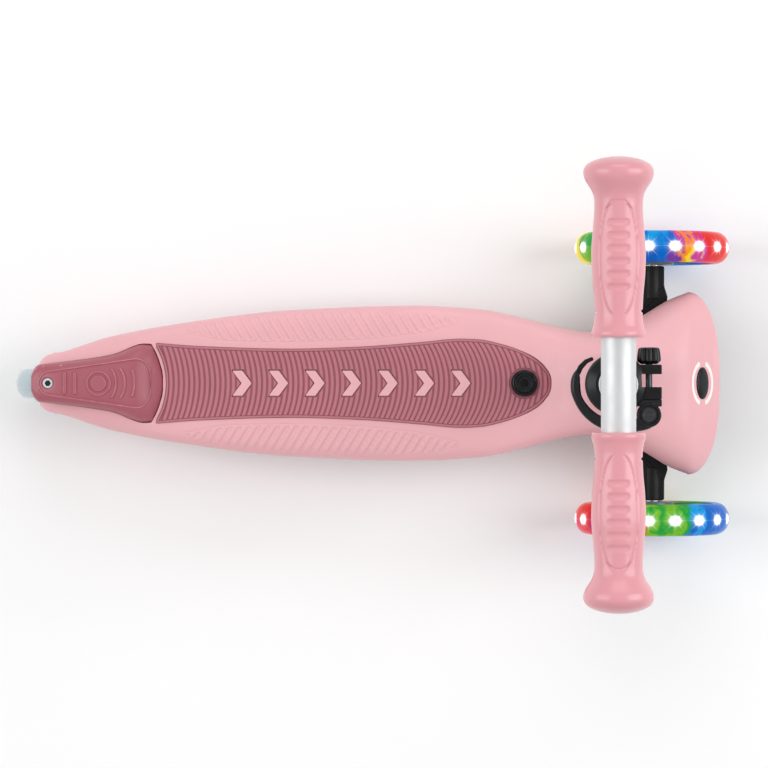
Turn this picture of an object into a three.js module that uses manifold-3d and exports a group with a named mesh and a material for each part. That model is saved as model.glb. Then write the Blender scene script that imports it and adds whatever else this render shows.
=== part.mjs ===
// Three-wheel lean-to-steer kick scooter.
// Millimetres. +X forward, +Y left, +Z up, floor at z = 0, origin under the middle of the deck.
import * as THREE from 'three';
import { mergeVertices } from 'three/addons/utils/BufferGeometryUtils.js';
import Module from 'manifold-3d';

const wasm = await Module();
wasm.setup();

// ---- driving dimensions ----

const GAP = 0.3; // clearance between neighbours that touch or run on each other
const FAR = 120; // reach of a cutter that passes right through
const rad = THREE.MathUtils.degToRad;

const FRONT = { radius: 60.5, x: 220.2, y: 106, halfWidth: 12.3, bore: 47.8, armFace: 14.3 };
const REAR = { radius: 40, x: -240.7, halfWidth: 11.7, bore: 29.3 };
const AXLE_BOSS = { radius: 11, reach: 24.2, recessR: 7.6, recess: 20 }; // beside the rear wheel
const AXLE_R = 4;
const BEARING_R = 11;

const DECK = { tail: -260.5, nose: 247, noseHalf: 71, front: 271.4, wall: 4.5 };
const SLOT = { front: -197, half: 13.2 }; // rear wheel slot
const POCKET = { floor: 74, deep: 66 }; // under the brake hinge, and beside the wheel
const CELL = { end: 150, pitch: 60, rib: 3, border: 10, low: 30, high: 80 }; // hollows under the deck
const HOOD = { under: 78, mouth: 30, rib: 24 }; // inside of the nose

const MAT = { floor: 84.7, bottom: 85, top: 88.2, tip: 139.7 };
const BRAKE_FRONT = { centre: -217.1, radius: 54.8 }; // arc of the brake's front edge
const BRAKE_GAP = 0.7; // between the brake and the deck round it
const FENDER = { side: 3.2, roof: 3.4 }; // wall of the brake
const CHEVRON = { first: -99.6, pitch: 28.4, count: 7, half: 9.8, stroke: 8, lead: 2.5, rise: 88 };
const PLUG = { x: 119.1, shank: 6, head: 10 };

const COLUMN = { x: 187.7, z: 100, rake: rad(3.09), outer: 17.5, inner: 16, foot: -45, top: 308 };
const STEM = { outer: 12, inner: 10.2, foot: 120 };
const BAR = { height: 580.8, outer: 11, inner: 9.4, half: 138 };
const GRIP = { end: 143, length: 113.2, wall: 4.6 };

const CLAMP = { height: 300.4, half: 15, radius: 21.5, rodX: 23, rodR: 2.4 };
const CAM = { x: 23, y: -21.5, pinR: 4.2, headR: 8.6, halfHeight: 8, fork: 3.2 };
const SADDLE = { back: 15.5, front: 31.9, low: -15.6, top: -10.9, half: 8 };

const KING = { x: 215, y: 39, z: 66, lean: rad(28), half: 14, pinR: 4.2, bushR: 5.8, knuckleR: 9.2,
  headR: 7, bossR: 8 };
const CENTRING = { radius: 8.8, height: 5.3 }; // elastic rings that bring the arms back
const ARM = { low: 53, high: 68.5, bossR: 9.2, bossFrom: 66, boreFrom: 67.5, leverWidth: 11 };
const TIE = { reach: 24, low: 9, high: 14, pinR: 3, eyeR: 6, thick: 4 };

const BUTTON = { x: 257, z: 96.5, tilt: rad(45), halfWide: 12, halfLong: 7, proud: 1.5, inside: 6 };

const HINGE = { x: -181, z: 82.6, pinR: 3, pinHalf: 20.6, lugR: 6.2, deckLug: [15.6, 21.8],
  brakeLug: [9.2, 15.3] };
const BRAKE_SCREW = { x: -251.6, foot: 83, head: 89.3, top: 91.6 };
const PAD = { low: 83.4, high: 84.9 };
const SPRING = { turns: 3, radius: 4.9, half: 7, wire: 0.75 };
const COVER = { under: 44, floor: 47, front: 262, top: 76, side: 9, inner: 12.5 };
const SCREW_R = 2;
const SCREW_HOLE_R = 2.3;
const POST = { x: 254.5, y: 20, radius: 4.2, foot: 46.3, root: 93 }; // screw posts in the nose

// ---- geometry helpers ----

const UP = new THREE.Vector3(0, 0, 1);
const v3 = (x, y, z) => new THREE.Vector3(x, y, z);

// Closed mesh to solid: shared corners merged, empty triangles dropped, faces turned outwards.
function solid(geometry) {
  geometry.deleteAttribute('normal');
  geometry.deleteAttribute('uv');
  const merged = mergeVertices(geometry, 1e-4);
  const corners = merged.attributes.position;
  const corner = (i) => new THREE.Vector3().fromBufferAttribute(corners, i);
  const triangles = [];
  let volume = 0;
  for (let i = 0; i < merged.index.count; i += 3) {
    const [a, b, c] = [0, 1, 2].map((k) => merged.index.getX(i + k));
    if (a === b || b === c || c === a) continue;
    triangles.push(a, b, c);
    volume += corner(a).dot(corner(b).cross(corner(c)));
  }
  if (volume < 0) triangles.reverse();
  const vertProperties = new Float32Array(corners.array);
  const triVerts = new Uint32Array(triangles);
  return new wasm.Manifold(new wasm.Mesh({ numProp: 3, vertProperties, triVerts }));
}

const join = (first, ...rest) => rest.reduce((sum, item) => sum.add(item), first);
const cut = (first, ...rest) => rest.reduce((left, item) => left.subtract(item), first);
const common = (a, b) => a.intersect(b);

function box(x0, x1, y0, y1, z0, z1) {
  const geometry = new THREE.BoxGeometry(x1 - x0, y1 - y0, z1 - z0);
  geometry.translate((x0 + x1) / 2, (y0 + y1) / 2, (z0 + z1) / 2);
  return solid(geometry);
}

// Straight round bar between two points.
function bar(radius, from, to, sides = 14) {
  const length = from.distanceTo(to);
  const geometry = new THREE.CylinderGeometry(radius, radius, length, sides).rotateX(Math.PI / 2);
  const turn = new THREE.Quaternion().setFromUnitVectors(UP, to.clone().sub(from).normalize());
  const middle = from.clone().add(to).multiplyScalar(0.5);
  geometry.applyMatrix4(new THREE.Matrix4().compose(middle, turn, v3(1, 1, 1)));
  return solid(geometry);
}

// Solid of revolution about Z from [radius, z] points that start and end on the axis.
function turned(points, sides) {
  const profile = points.map(([r, z]) => new THREE.Vector2(r, z));
  return solid(new THREE.LatheGeometry(profile, sides).rotateX(Math.PI / 2));
}

// Ring about Z: the same, with a profile that closes on itself.
const ring = (points, sides) => turned([...points, points[0]], sides);
const sleeve = (inner, outer, z0, z1, sides) =>
  ring([[inner, z0], [outer, z0], [outer, z1], [inner, z1]], sides);

function slab(points, z0, z1) {
  const shape = new THREE.Shape(points.map(([x, y]) => new THREE.Vector2(x, y)));
  const geometry = new THREE.ExtrudeGeometry(shape, { depth: z1 - z0, bevelEnabled: false });
  return solid(geometry.translate(0, 0, z0));
}

// Closed skin through rings that have the same number of points.
function loft(rings) {
  const count = rings[0].length;
  const corners = rings.flat();
  const faces = [];
  for (let j = 0; j + 1 < rings.length; j++) {
    for (let i = 0; i < count; i++) {
      const [a, b] = [j * count + i, j * count + ((i + 1) % count)];
      faces.push(a, b, b + count, a, b + count, a + count);
    }
  }
  for (const [start, flip] of [[0, true], [(rings.length - 1) * count, false]]) {
    for (let i = 1; i + 1 < count; i++) {
      faces.push(start, start + (flip ? i + 1 : i), start + (flip ? i : i + 1));
    }
  }
  const geometry = new THREE.BufferGeometry().setFromPoints(corners);
  geometry.setIndex(faces);
  return solid(geometry);
}

// Smooth curve through [x, value] points that never overshoots them.
function smooth(points) {
  const rise = (i) => (points[i + 1][1] - points[i][1]) / (points[i + 1][0] - points[i][0]);
  const last = points.length - 1;
  const slope = points.map((_, i) => {
    if (i === 0 || i === last) return rise(i === 0 ? 0 : last - 1);
    const [before, after] = [rise(i - 1), rise(i)];
    return before * after > 0 ? (2 * before * after) / (before + after) : 0;
  });
  return (x) => {
    let i = 0;
    while (i < last - 1 && x > points[i + 1][0]) i++;
    const width = points[i + 1][0] - points[i][0];
    const t = Math.min(Math.max((x - points[i][0]) / width, 0), 1);
    const [start, end] = [points[i][1], points[i + 1][1]];
    const bend = (1 - t) * slope[i] * width * t * (1 - t) - t * slope[i + 1] * width * t * (1 - t);
    return start + (end - start) * t * t * (3 - 2 * t) + bend;
  };
}

// Cross-section at x: a crown above the rim and a belly below it, both rounded to full width.
function section(x, half, top, rim, low, crown, belly, points) {
  return Array.from({ length: points }, (_, i) => {
    const angle = (2 * Math.PI * i) / points;
    const [c, s] = [Math.cos(angle), Math.sin(angle)];
    const power = s >= 0 ? crown : belly;
    const y = half * Math.sign(c) * Math.abs(c) ** (2 / power);
    return v3(x, y, rim + s * (s >= 0 ? top - rim : rim - low));
  });
}

// ---- deck shape ----

const deckSide = smooth([
  [DECK.tail, 17], [-255, 22], [-243, 24.6], [-205, 36.3], [-149, 46.8], [-65, 57], [32, 60.6],
  [85, 57.7], [122, 49.9], [150, 42.6], [172, 40], [190, 43.4], [211, 52.7], [232, 65.1],
  [DECK.nose, DECK.noseHalf],
]);
const deckTop = smooth([
  [DECK.tail, 66], [-250, 72], [-232, 78], [-205, 83], [-172, 87], [100, 87], [125, 89], [145, 95],
  [160, 102.5], [175, 110], [190, 114], [212, 114], [232, 112], [243, 109], [BUTTON.x, BUTTON.z],
  [266, 87.8], [DECK.front, 85],
]);
const deckRim = smooth([[DECK.tail, 58], [-232, 66], [-190, 73], [-150, 76], [120, 76], [165, 79],
  [205, 82], [DECK.front, 83.5]]);
const deckLow = smooth([[DECK.tail, 31], [-248, 28], [-230, 29], [-200, 41], [-190, 42], [160, 42],
  [185, 44], [197, 46], [205, 72], [214, 77], [262, 77.5], [DECK.front, 82]]);
const deckCrown = smooth([[DECK.tail, 4], [-200, 7], [-150, 9], [110, 9], [145, 5], [168, 3.2],
  [200, 2.8], [DECK.front, 3]]);
const BELLY = 6;

// Half width of the deck, with the rounded front edge of the nose.
function deckHalf(x) {
  if (x <= DECK.nose) return deckSide(x);
  const t = (x - DECK.nose) / (DECK.front - DECK.nose);
  return DECK.noseHalf * (1 - t * t) ** (1 / 2.6);
}

function deckStations() {
  const along = [DECK.tail, -255, -246, -232, -215, -198, -172, -135, -90, -40, 15, 60, 95];
  along.push(122, 140, 155, 170, 184, 197, 205, 214, 228, 241);
  const rounds = [0, 0.4, 0.7, 0.87, 0.96, 0.996];
  return along.concat(rounds.map((t) => DECK.nose + t * (DECK.front - DECK.nose)));
}

function deckHull(grow = 0) {
  return loft(deckStations().map((x) => section(x, deckHalf(x) + grow, deckTop(x) + grow, deckRim(x),
    deckLow(x), deckCrown(x), BELLY, 16)));
}

// Space inside the hood of the nose, open below.
function noseCavity() {
  const along = [200, 206, 214, 226, 238, 248, 256, 261];
  const hollow = loft(along.map((x) => {
    const inset = DECK.wall + (x > 250 ? 1 : 0);
    const top = deckTop(x) - DECK.wall - 1;
    return section(x, deckHalf(x) - inset, top, HOOD.under, HOOD.mouth, deckCrown(x), 20, 12);
  }));
  return cut(hollow, box(190, 214, -HOOD.rib, HOOD.rib, 0, FAR + 10));
}

// Underside cells between the ribs, two columns wide.
function deckCells() {
  const cells = [];
  const [halfRib, edge] = [CELL.rib / 2, (x) => deckHalf(x) - CELL.border];
  for (let start = -CELL.end; start < CELL.end; start += CELL.pitch) {
    const [x0, x1] = [start + halfRib, start + CELL.pitch - halfRib];
    const outline = [[x0, halfRib], [x1, halfRib], [x1, edge(x1)], [x0, edge(x0)]];
    for (const side of [-1, 1]) cells.push(slab(outline.map(([x, y]) => [x, side * y]), CELL.low, CELL.high));
  }
  return cells;
}

const matSide = smooth([[-169, 31.2], [-133, 28.5], [-63, 26.5], [-9, 28.1], [38, 31.6], [70, 34.3],
  [85, 33.6], [100, 30.4], [116, 25.2], [131, 16.8], [137.5, 9]]);

// Mat outline: an arc at the brake, curved sides and a round tip, grown by an offset.
function matOutline(grow) {
  const side = [];
  const arc = BRAKE_FRONT.radius + 2.7 - grow;
  for (const y of [0, 11, 21]) side.push([BRAKE_FRONT.centre + Math.sqrt(arc * arc - y * y), y]);
  for (const x of [-167, -133, -98, -63, -36, -9, 14, 38, 55, 70, 85, 100, 116, 124, 131, 137.5]) {
    side.push([x + (x > 120 ? grow * 0.7 : 0) - (x < -160 ? grow : 0), matSide(x) + grow]);
  }
  side.push([MAT.tip + grow, 0]);
  return side.concat(side.slice(1, -1).reverse().map(([x, y]) => [x, -y]));
}

function chevron(x, grow) {
  const [back, wide] = [CHEVRON.half * 0.75, CHEVRON.half + grow];
  const [lead, trail] = [1, -1].map((end) => CHEVRON.lead + end * (CHEVRON.stroke / 2 + grow));
  return [[x + lead, 0], [x + lead - back, wide], [x + trail - back, wide], [x + trail, 0],
    [x + trail - back, -wide], [x + lead - back, -wide]];
}

const chevronPlaces = Array.from({ length: CHEVRON.count }, (_, i) => CHEVRON.first + i * CHEVRON.pitch);

// Brake outline as a half width along x.
const brakeSide = smooth([[-264.9, 7], [-262.5, 12], [-258.9, 14.6], [-249.5, 15.6], [-226, 18.2],
  [-203, 21.9], [-195, 24.5], [-187, 28], [-178, 30.6], [-172, 30.4], [-170, 29]]);
const brakeTop = smooth([[-264.9, 88], [-258, 91], [-245, 93.6], [-220, 95.5], [-198, 97.5],
  [-185, 98.5], [-177, 96.5], [-169, 91], [-162.3, 85]]);
const brakeRim = smooth([[-264.9, 82.5], [-245, 84.5], [-200, 84.5], [-175, 83], [-162.3, 82]]);

function brakeHalf(x) {
  const reach = x - BRAKE_FRONT.centre;
  const edge = Math.sqrt(Math.max(BRAKE_FRONT.radius ** 2 - reach ** 2, 0));
  return x < -170 ? brakeSide(x) : Math.min(edge, 29);
}

const BRAKE_STATIONS = [-264.9, -262.5, -258.9, -248, -226, -203, -190, -178, -171, -166.5, -163.6,
  -162.5];

function brakeOutline(grow) {
  const side = BRAKE_STATIONS.map((x) => [x + (x > -164 ? grow : 0), brakeHalf(x) + grow]);
  return side.concat(side.slice().reverse().map(([x, y]) => [x, -y]));
}

// ---- steering geometry ----

const kingAxis = v3(Math.sin(KING.lean), 0, Math.cos(KING.lean));
const kingForward = v3(Math.cos(KING.lean), 0, -Math.sin(KING.lean));
const kingPoint = (side, alongAxis, ahead = 0) => v3(KING.x, side * KING.y, KING.z)
  .addScaledVector(kingAxis, alongAxis).addScaledVector(kingForward, ahead);
const buttonAxis = v3(Math.sin(BUTTON.tilt), 0, Math.cos(BUTTON.tilt));

// Oval peg on the sloping face of the nose, from one depth to another along its own axis.
function ovalPeg(halfWide, halfLong, from, to) {
  const geometry = new THREE.CylinderGeometry(1, 1, to - from, 20).rotateX(Math.PI / 2);
  geometry.scale(halfLong, halfWide, 1).translate(0, 0, (from + to) / 2);
  geometry.rotateY(BUTTON.tilt).translate(BUTTON.x, 0, BUTTON.z);
  return solid(geometry);
}

// ---- materials ----

const material = (color, roughness, metalness = 0) =>
  new THREE.MeshStandardMaterial({ color, roughness, metalness });
const finish = {
  pink: () => material(0xe9b9bd, 0.45),
  rose: () => material(0xa96673, 0.6),
  brakeRose: () => material(0xa05c6a, 0.5),
  gripPink: () => material(0xe5a5ab, 0.7),
  black: () => material(0x202224, 0.5),
  charcoal: () => material(0x494c50, 0.45),
  silver: () => material(0xe6e8ea, 0.3, 0.9),
  steel: () => material(0xa9adb2, 0.3, 1),
  clear: () => material(0xb9cad1, 0.2),
  lampTyre: () => material(0x3aa0d8, 0.2),
  lamp: () => material(0xf4f6ff, 0.3),
  hubWhite: () => material(0xd9dcdf, 0.4),
  rubber: () => material(0x2a2a2c, 0.8),
};

function piece(name, shape, look) {
  const { vertProperties, triVerts } = shape.getMesh();
  const geometry = new THREE.BufferGeometry();
  geometry.setAttribute('position', new THREE.BufferAttribute(vertProperties, 3));
  geometry.setIndex(new THREE.BufferAttribute(triVerts, 1));
  geometry.computeVertexNormals();
  const mesh = new THREE.Mesh(geometry, look());
  mesh.name = name;
  return mesh;
}

// ---- deck, mat and fixed front parts ----

function deckBody() {
  let body = deckHull();
  body = cut(body, box(DECK.tail - 5, SLOT.front, -SLOT.half, SLOT.half, 0, FAR));
  body = cut(body, slab(brakeOutline(BRAKE_GAP), POCKET.floor, FAR));
  const behind = box(-290, SLOT.front, -60, 60, 0, FAR);
  body = cut(body, common(slab(brakeOutline(BRAKE_GAP), POCKET.deep, FAR), behind));
  body = cut(body, slab(matOutline(0.4), MAT.floor, FAR));
  body = join(body, ...chevronPlaces.map((x) => slab(chevron(x, 0), MAT.floor - 1, CHEVRON.rise)));
  body = cut(body, ...deckCells(), noseCavity());
  body = join(body, ...[-1, 1].flatMap((side) => [hingeLug(side), axleBoss(side), kingBoss(side),
    coverPost(side)]));
  for (const side of [-1, 1]) body = cut(body, ...boltHoles(side));
  const pinEnd = HINGE.pinHalf + GAP;
  const pinHole = bar(HINGE.pinR + GAP, v3(HINGE.x, -pinEnd, HINGE.z), v3(HINGE.x, pinEnd, HINGE.z), 14);
  const plugHole = bar(PLUG.shank + GAP, v3(PLUG.x, 0, 70), v3(PLUG.x, 0, 100), 16);
  const buttonHole = ovalPeg(BUTTON.halfWide + 0.5, BUTTON.halfLong + 0.5, -12, 20);
  return cut(body, pinHole, plugHole, buttonHole, columnSocket());
}

// Span between two distances on one side, lower end first.
const span = (side, near, far) => (side > 0 ? [near, far] : [-far, -near]);

function hingeLug(side) {
  const [near, far] = HINGE.deckLug;
  const round = bar(HINGE.lugR, v3(HINGE.x, side * near, HINGE.z), v3(HINGE.x, side * far, HINGE.z), 14);
  const foot = box(HINGE.x - HINGE.lugR, HINGE.x + HINGE.lugR, ...span(side, near, far),
    POCKET.floor - 4, HINGE.z);
  return join(round, foot);
}

const rearAxleBar = (side, y0, y1, radius, sides) =>
  bar(radius, v3(REAR.x, side * y0, REAR.radius), v3(REAR.x, side * y1, REAR.radius), sides);
const axleBoss = (side) => rearAxleBar(side, SLOT.half, AXLE_BOSS.reach, AXLE_BOSS.radius, 16);

const kingBoss = (side) =>
  common(deckHull(-0.5), bar(KING.bossR, kingPoint(side, KING.half + CENTRING.height + 2 * GAP),
    kingPoint(side, 60), 12));

const postPoint = (side, z) => v3(POST.x, side * POST.y, z);
const coverPost = (side) => bar(POST.radius, postPoint(side, POST.foot), postPoint(side, POST.root), 12);

function boltHoles(side) {
  return [
    rearAxleBar(side, SLOT.half - 1, 30, AXLE_R + GAP, 12),
    rearAxleBar(side, AXLE_BOSS.recess, 30, AXLE_BOSS.recessR, 14),
    bar(KING.pinR + GAP, kingPoint(side, KING.half), kingPoint(side, KING.half + 15), 12),
    bar(SCREW_HOLE_R, postPoint(side, 40), postPoint(side, 62), 8),
  ];
}

function columnPoint(along) {
  return v3(COLUMN.x - Math.sin(COLUMN.rake) * along, 0, COLUMN.z + Math.cos(COLUMN.rake) * along);
}

const columnSocket = () => bar(COLUMN.outer + GAP, columnPoint(COLUMN.foot - GAP), columnPoint(60), 24);

function gripMat() {
  const plate = slab(matOutline(0), MAT.bottom, MAT.top);
  const openings = chevronPlaces.map((x) => slab(chevron(x, 0.4), MAT.bottom - 1, MAT.top + 1));
  return cut(plate, ...openings, bar(PLUG.head + 0.4, v3(PLUG.x, 0, 80), v3(PLUG.x, 0, 95), 20));
}

function deckPlug() {
  const head = turned([[0, 74], [PLUG.shank, 74], [PLUG.shank, 85], [9.2, 85.4], [PLUG.head, 87],
    [PLUG.head, 90], [8.6, 92], [7, 93], [6.2, 92.4], [0, 92.4]], 18);
  const hexSocket = bar(3.6, v3(0, 0, 84), v3(0, 0, 98), 6);
  return cut(head, hexSocket);
}

function columnRing() {
  const inner = COLUMN.outer + GAP;
  const profile = [[inner, 2], [21.6, 2], [21.8, 19], [20.8, 22], [inner, 23], [inner, 2]];
  const geometry = new THREE.LatheGeometry(profile.map(([r, z]) => new THREE.Vector2(r, z)), 24);
  geometry.rotateX(Math.PI / 2).rotateY(-COLUMN.rake).translate(COLUMN.x, 0, COLUMN.z);
  return cut(solid(geometry), deckHull(GAP));
}

// Black tub under the nose that carries the lower ends of the kingpins.
function truckCover() {
  const tub = (inset, low, high, front) => loft([200, 208, 220, 234, 248, front].map((x) =>
    section(x, deckHalf(x) - inset, high, 60, low, 20, 20, 12)));
  const inside = tub(COVER.inner, COVER.under - 6, FAR, COVER.front - 4);
  const aboveFloor = box(180, 270, -80, 80, COVER.floor, 90);
  const armWindow = box(195, 252, -80, 80, COVER.floor, 90);
  let cover = tub(COVER.side, COVER.under - 2, COVER.top, COVER.front);
  cover = cut(cover, common(inside, aboveFloor), armWindow);
  for (const side of [-1, 1]) {
    cover = join(cover, bar(KING.headR, kingPoint(side, -KING.half - GAP), kingPoint(side, -25), 12));
    cover = cut(cover, bar(KING.pinR + GAP, kingPoint(side, -10), kingPoint(side, -40), 12));
    cover = cut(cover, bar(SCREW_HOLE_R, postPoint(side, 30), postPoint(side, 60), 8));
    cover = cut(cover, bar(POST.radius + GAP, postPoint(side, 46), postPoint(side, 90), 12));
  }
  return cut(cover, box(180, 290, -80, 80, 20, COVER.under));
}

function kingpin(side) {
  const shaft = bar(KING.pinR, kingPoint(side, -29), kingPoint(side, KING.half + 14), 12);
  return join(shaft, bar(KING.headR, kingPoint(side, -33), kingPoint(side, -27 - GAP * 3), 6));
}

function centringBush(side) {
  const [low, high] = [KING.half + GAP, KING.half + GAP + CENTRING.height];
  const block = bar(CENTRING.radius, kingPoint(side, low), kingPoint(side, high), 14);
  return cut(block, bar(KING.pinR + GAP, kingPoint(side, low - 1), kingPoint(side, high + 1), 12));
}

function coverScrew(side) {
  const head = bar(4, postPoint(side, COVER.under - 2.8), postPoint(side, COVER.under - GAP), 12);
  return join(bar(SCREW_R, postPoint(side, COVER.under - 2), postPoint(side, 58), 8), head);
}

// ---- steering arms and tie rod ----

function steeringArm(side) {
  const outline = [[206, 34], [206, 48], [209, 58], [211, 70], [211, 91.7], [229.4, 91.7],
    [229.4, 76], [232, 68], [231, 58], [226, 46], [224, 34]];
  const web = slab(outline.map(([x, y]) => [x, side * y]), ARM.low, ARM.high);
  const knuckle = bar(KING.knuckleR, kingPoint(side, -KING.half), kingPoint(side, KING.half), 14);
  const face = FRONT.y - FRONT.armFace;
  const axleBar = (radius, y0, y1, sides) =>
    bar(radius, v3(FRONT.x, side * y0, FRONT.radius), v3(FRONT.x, side * y1, FRONT.radius), sides);
  const bores = [
    bar(KING.knuckleR + 0.4, kingPoint(side, -30), kingPoint(side, -KING.half), 12),
    bar(KING.bushR + GAP, kingPoint(side, -20), kingPoint(side, 20), 14),
    axleBar(AXLE_R + GAP, ARM.boreFrom, face + 5, 12),
    bar(TIE.pinR + GAP, kingPoint(side, 0, TIE.reach), kingPoint(side, 20, TIE.reach), 12),
  ];
  const boss = axleBar(ARM.bossR, ARM.bossFrom, face, 14);
  return cut(join(web, knuckle, boss, steeringLever(side)), ...bores);
}

// Flat lever on top of the knuckle, square to the kingpin, with an eye for the tie rod.
function steeringLever(side) {
  const frame = new THREE.Matrix4().makeRotationY(KING.lean).setPosition(kingPoint(side, 0));
  const blade = new THREE.BoxGeometry(TIE.reach, ARM.leverWidth, TIE.high - TIE.low);
  blade.translate(TIE.reach / 2, 0, (TIE.low + TIE.high) / 2).applyMatrix4(frame);
  const eye = bar(TIE.eyeR, kingPoint(side, TIE.low, TIE.reach), kingPoint(side, TIE.high, TIE.reach), 14);
  return join(solid(blade), eye);
}

function kingpinBush(side) {
  const tube = bar(KING.bushR, kingPoint(side, -KING.half), kingPoint(side, KING.half), 14);
  return cut(tube, bar(KING.pinR + GAP, kingPoint(side, -20), kingPoint(side, 20), 12));
}

function tieRod() {
  const [low, high] = [TIE.high + GAP, TIE.high + GAP + TIE.thick];
  const frame = new THREE.Matrix4().makeRotationY(KING.lean).setPosition(kingPoint(0, 0));
  const blade = new THREE.BoxGeometry(8, 2 * KING.y, high - low);
  blade.translate(TIE.reach, 0, (low + high) / 2).applyMatrix4(frame);
  let rod = solid(blade);
  for (const side of [-1, 1]) {
    const at = (along) => kingPoint(side, along, TIE.reach);
    rod = join(rod, bar(TIE.eyeR, at(low), at(high), 14));
    rod = cut(rod, bar(TIE.pinR + GAP, at(low - 2), at(high + 2), 12));
  }
  return rod;
}

function tiePin(side) {
  const at = (along) => kingPoint(side, along, TIE.reach);
  const top = TIE.high + TIE.thick + 2 * GAP;
  return join(bar(TIE.pinR, at(TIE.low), at(top + 1), 12), bar(4.8, at(top), at(top + 2.5), 12));
}

// ---- wheels, built about Z with +Z as the outer side ----

function tyre(radius, half, bore) {
  const tread = (angle) => [radius - 7 + 7 * Math.cos(angle), (half - 5.6) * Math.sin(angle) * 1.4];
  const arc = [-1.2, -0.6, 0, 0.6, 1.2].map(tread);
  return ring([[bore, -half + 2], [bore + 2, -half], ...arc, [bore + 2, half], [bore, half - 2]], 32);
}

function frontHub() {
  return ring([[11.3, -13.2], [17, -13.2], [18.5, -5], [38, -5], [39.5, -10.8], [44.3, -10.8],
    [44.3, 10.8], [39.5, 10.8], [38, 5], [18.5, 5], [17, 12.6], [11.3, 12.6]], 24);
}

function rearHub() {
  return ring([[11.3, -12.4], [16, -12.4], [17, -8], [29, -10], [29, 10], [17, 8], [16, 12.4],
    [11.3, 12.4]], 24);
}

const bearing = (z0, z1) => sleeve(AXLE_R + GAP, BEARING_R, z0, z1, 16);

function frontAxleBolt() {
  return turned([[0, -38], [AXLE_R, -38], [AXLE_R, 12.9], [6.3, 12.9], [6.3, 13.6], [4.2, 14.2],
    [0, 14.2]], 14);
}

function rearAxle() {
  return turned([[0, -23.3], [6.8, -23.3], [6.8, -20.3], [AXLE_R, -20.3], [AXLE_R, 22.5], [0, 22.5]], 14);
}

function rearNut() {
  const body = bar(6.8, v3(0, 0, 20.3), v3(0, 0, 24), 6);
  return cut(body, bar(AXLE_R + GAP, v3(0, 0, 19), v3(0, 0, 30), 12));
}

function frontWheel(side, name) {
  const station = new THREE.Group();
  station.position.set(FRONT.x, side * FRONT.y, FRONT.radius);
  station.rotation.x = (-side * Math.PI) / 2;
  station.add(
    piece(`tyre_${name}`, tyre(FRONT.radius, FRONT.halfWidth, FRONT.bore), finish.lampTyre),
    piece(`hub_${name}`, frontHub(), finish.hubWhite),
    piece(`lamp_ring_${name}`, sleeve(44.6, 47.4, -9.5, 9.5, 24), finish.lamp),
    piece(`inner_bearing_${name}`, bearing(-13, -6), finish.steel),
    piece(`outer_bearing_${name}`, bearing(5.5, 12.5), finish.steel),
    piece(`magnet_spacer_${name}`, sleeve(AXLE_R + GAP, 7.5, -5.6, 5.1, 12), finish.steel),
    piece(`axle_washer_${name}`, sleeve(AXLE_R + GAP, 8, -14, -13.4, 12), finish.steel),
    piece(`axle_bolt_${name}`, frontAxleBolt(), finish.steel),
  );
  return station;
}

function rearWheel() {
  const station = new THREE.Group();
  station.position.set(REAR.x, 0, REAR.radius);
  station.rotation.x = -Math.PI / 2;
  station.add(
    piece('rear_tyre', tyre(REAR.radius, REAR.halfWidth, REAR.bore), finish.clear),
    piece('rear_hub', rearHub(), finish.hubWhite),
    piece('rear_bearing_left', bearing(5.3, 12.3), finish.steel),
    piece('rear_bearing_right', bearing(-12.3, -5.3), finish.steel),
    piece('rear_spacer', sleeve(AXLE_R + GAP, 6.5, -5, 5, 12), finish.steel),
    piece('rear_axle', rearAxle(), finish.steel),
    piece('rear_axle_nut', rearNut(), finish.steel),
  );
  return station;
}

// ---- rear brake ----

function brakeFender() {
  const shell = loft(BRAKE_STATIONS.map((x) =>
    section(x, brakeHalf(x), brakeTop(x), brakeRim(x), brakeRim(x) - 1.5, 4, 6, 12)));
  const inside = loft([-258.5, -248, -226, -203, -187, -170].map((x) =>
    section(x, brakeHalf(x) - FENDER.side, brakeTop(x) - FENDER.roof, brakeRim(x) - 1, 70, 5, 20, 8)));
  const pin = bar(HINGE.pinR + GAP, v3(HINGE.x, -30, HINGE.z), v3(HINGE.x, 30, HINGE.z), 16);
  const head = bar(SCREW_HOLE_R + 2, screwPoint(BRAKE_SCREW.head - GAP), screwPoint(100), 12);
  return cut(join(cut(shell, inside), brakeLug(-1), brakeLug(1)), pin, screwHole(), head);
}

const screwPoint = (z) => v3(BRAKE_SCREW.x, 0, z);
const screwHole = () => bar(SCREW_HOLE_R, screwPoint(70), screwPoint(100), 12);

// Lug under the brake that turns on the hinge pin, kept below the outer skin.
function brakeLug(side) {
  const [near, far] = HINGE.brakeLug;
  const round = bar(HINGE.lugR, v3(HINGE.x, side * near, HINGE.z), v3(HINGE.x, side * far, HINGE.z), 14);
  const web = box(HINGE.x - 5, HINGE.x + 3, ...span(side, near, far), HINGE.z, 94.5);
  return join(round, web);
}

function brakePad() {
  const outline = [[-256, -7], [-256, 7], [-252, 10], [-222, 10], [-222, -10], [-252, -10]];
  return cut(slab(outline, PAD.low, PAD.high), screwHole());
}

function brakeScrew() {
  const { foot, head, top } = BRAKE_SCREW;
  const shaft = bar(SCREW_R, screwPoint(foot), screwPoint(head + 1), 12);
  const body = join(shaft, bar(4, screwPoint(head), screwPoint(top), 12));
  return cut(body, bar(2.2, screwPoint(top - 1.4), screwPoint(top + 1), 6));
}

const hingePin = () =>
  bar(HINGE.pinR, v3(HINGE.x, -HINGE.pinHalf, HINGE.z), v3(HINGE.x, HINGE.pinHalf, HINGE.z), 16);

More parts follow.
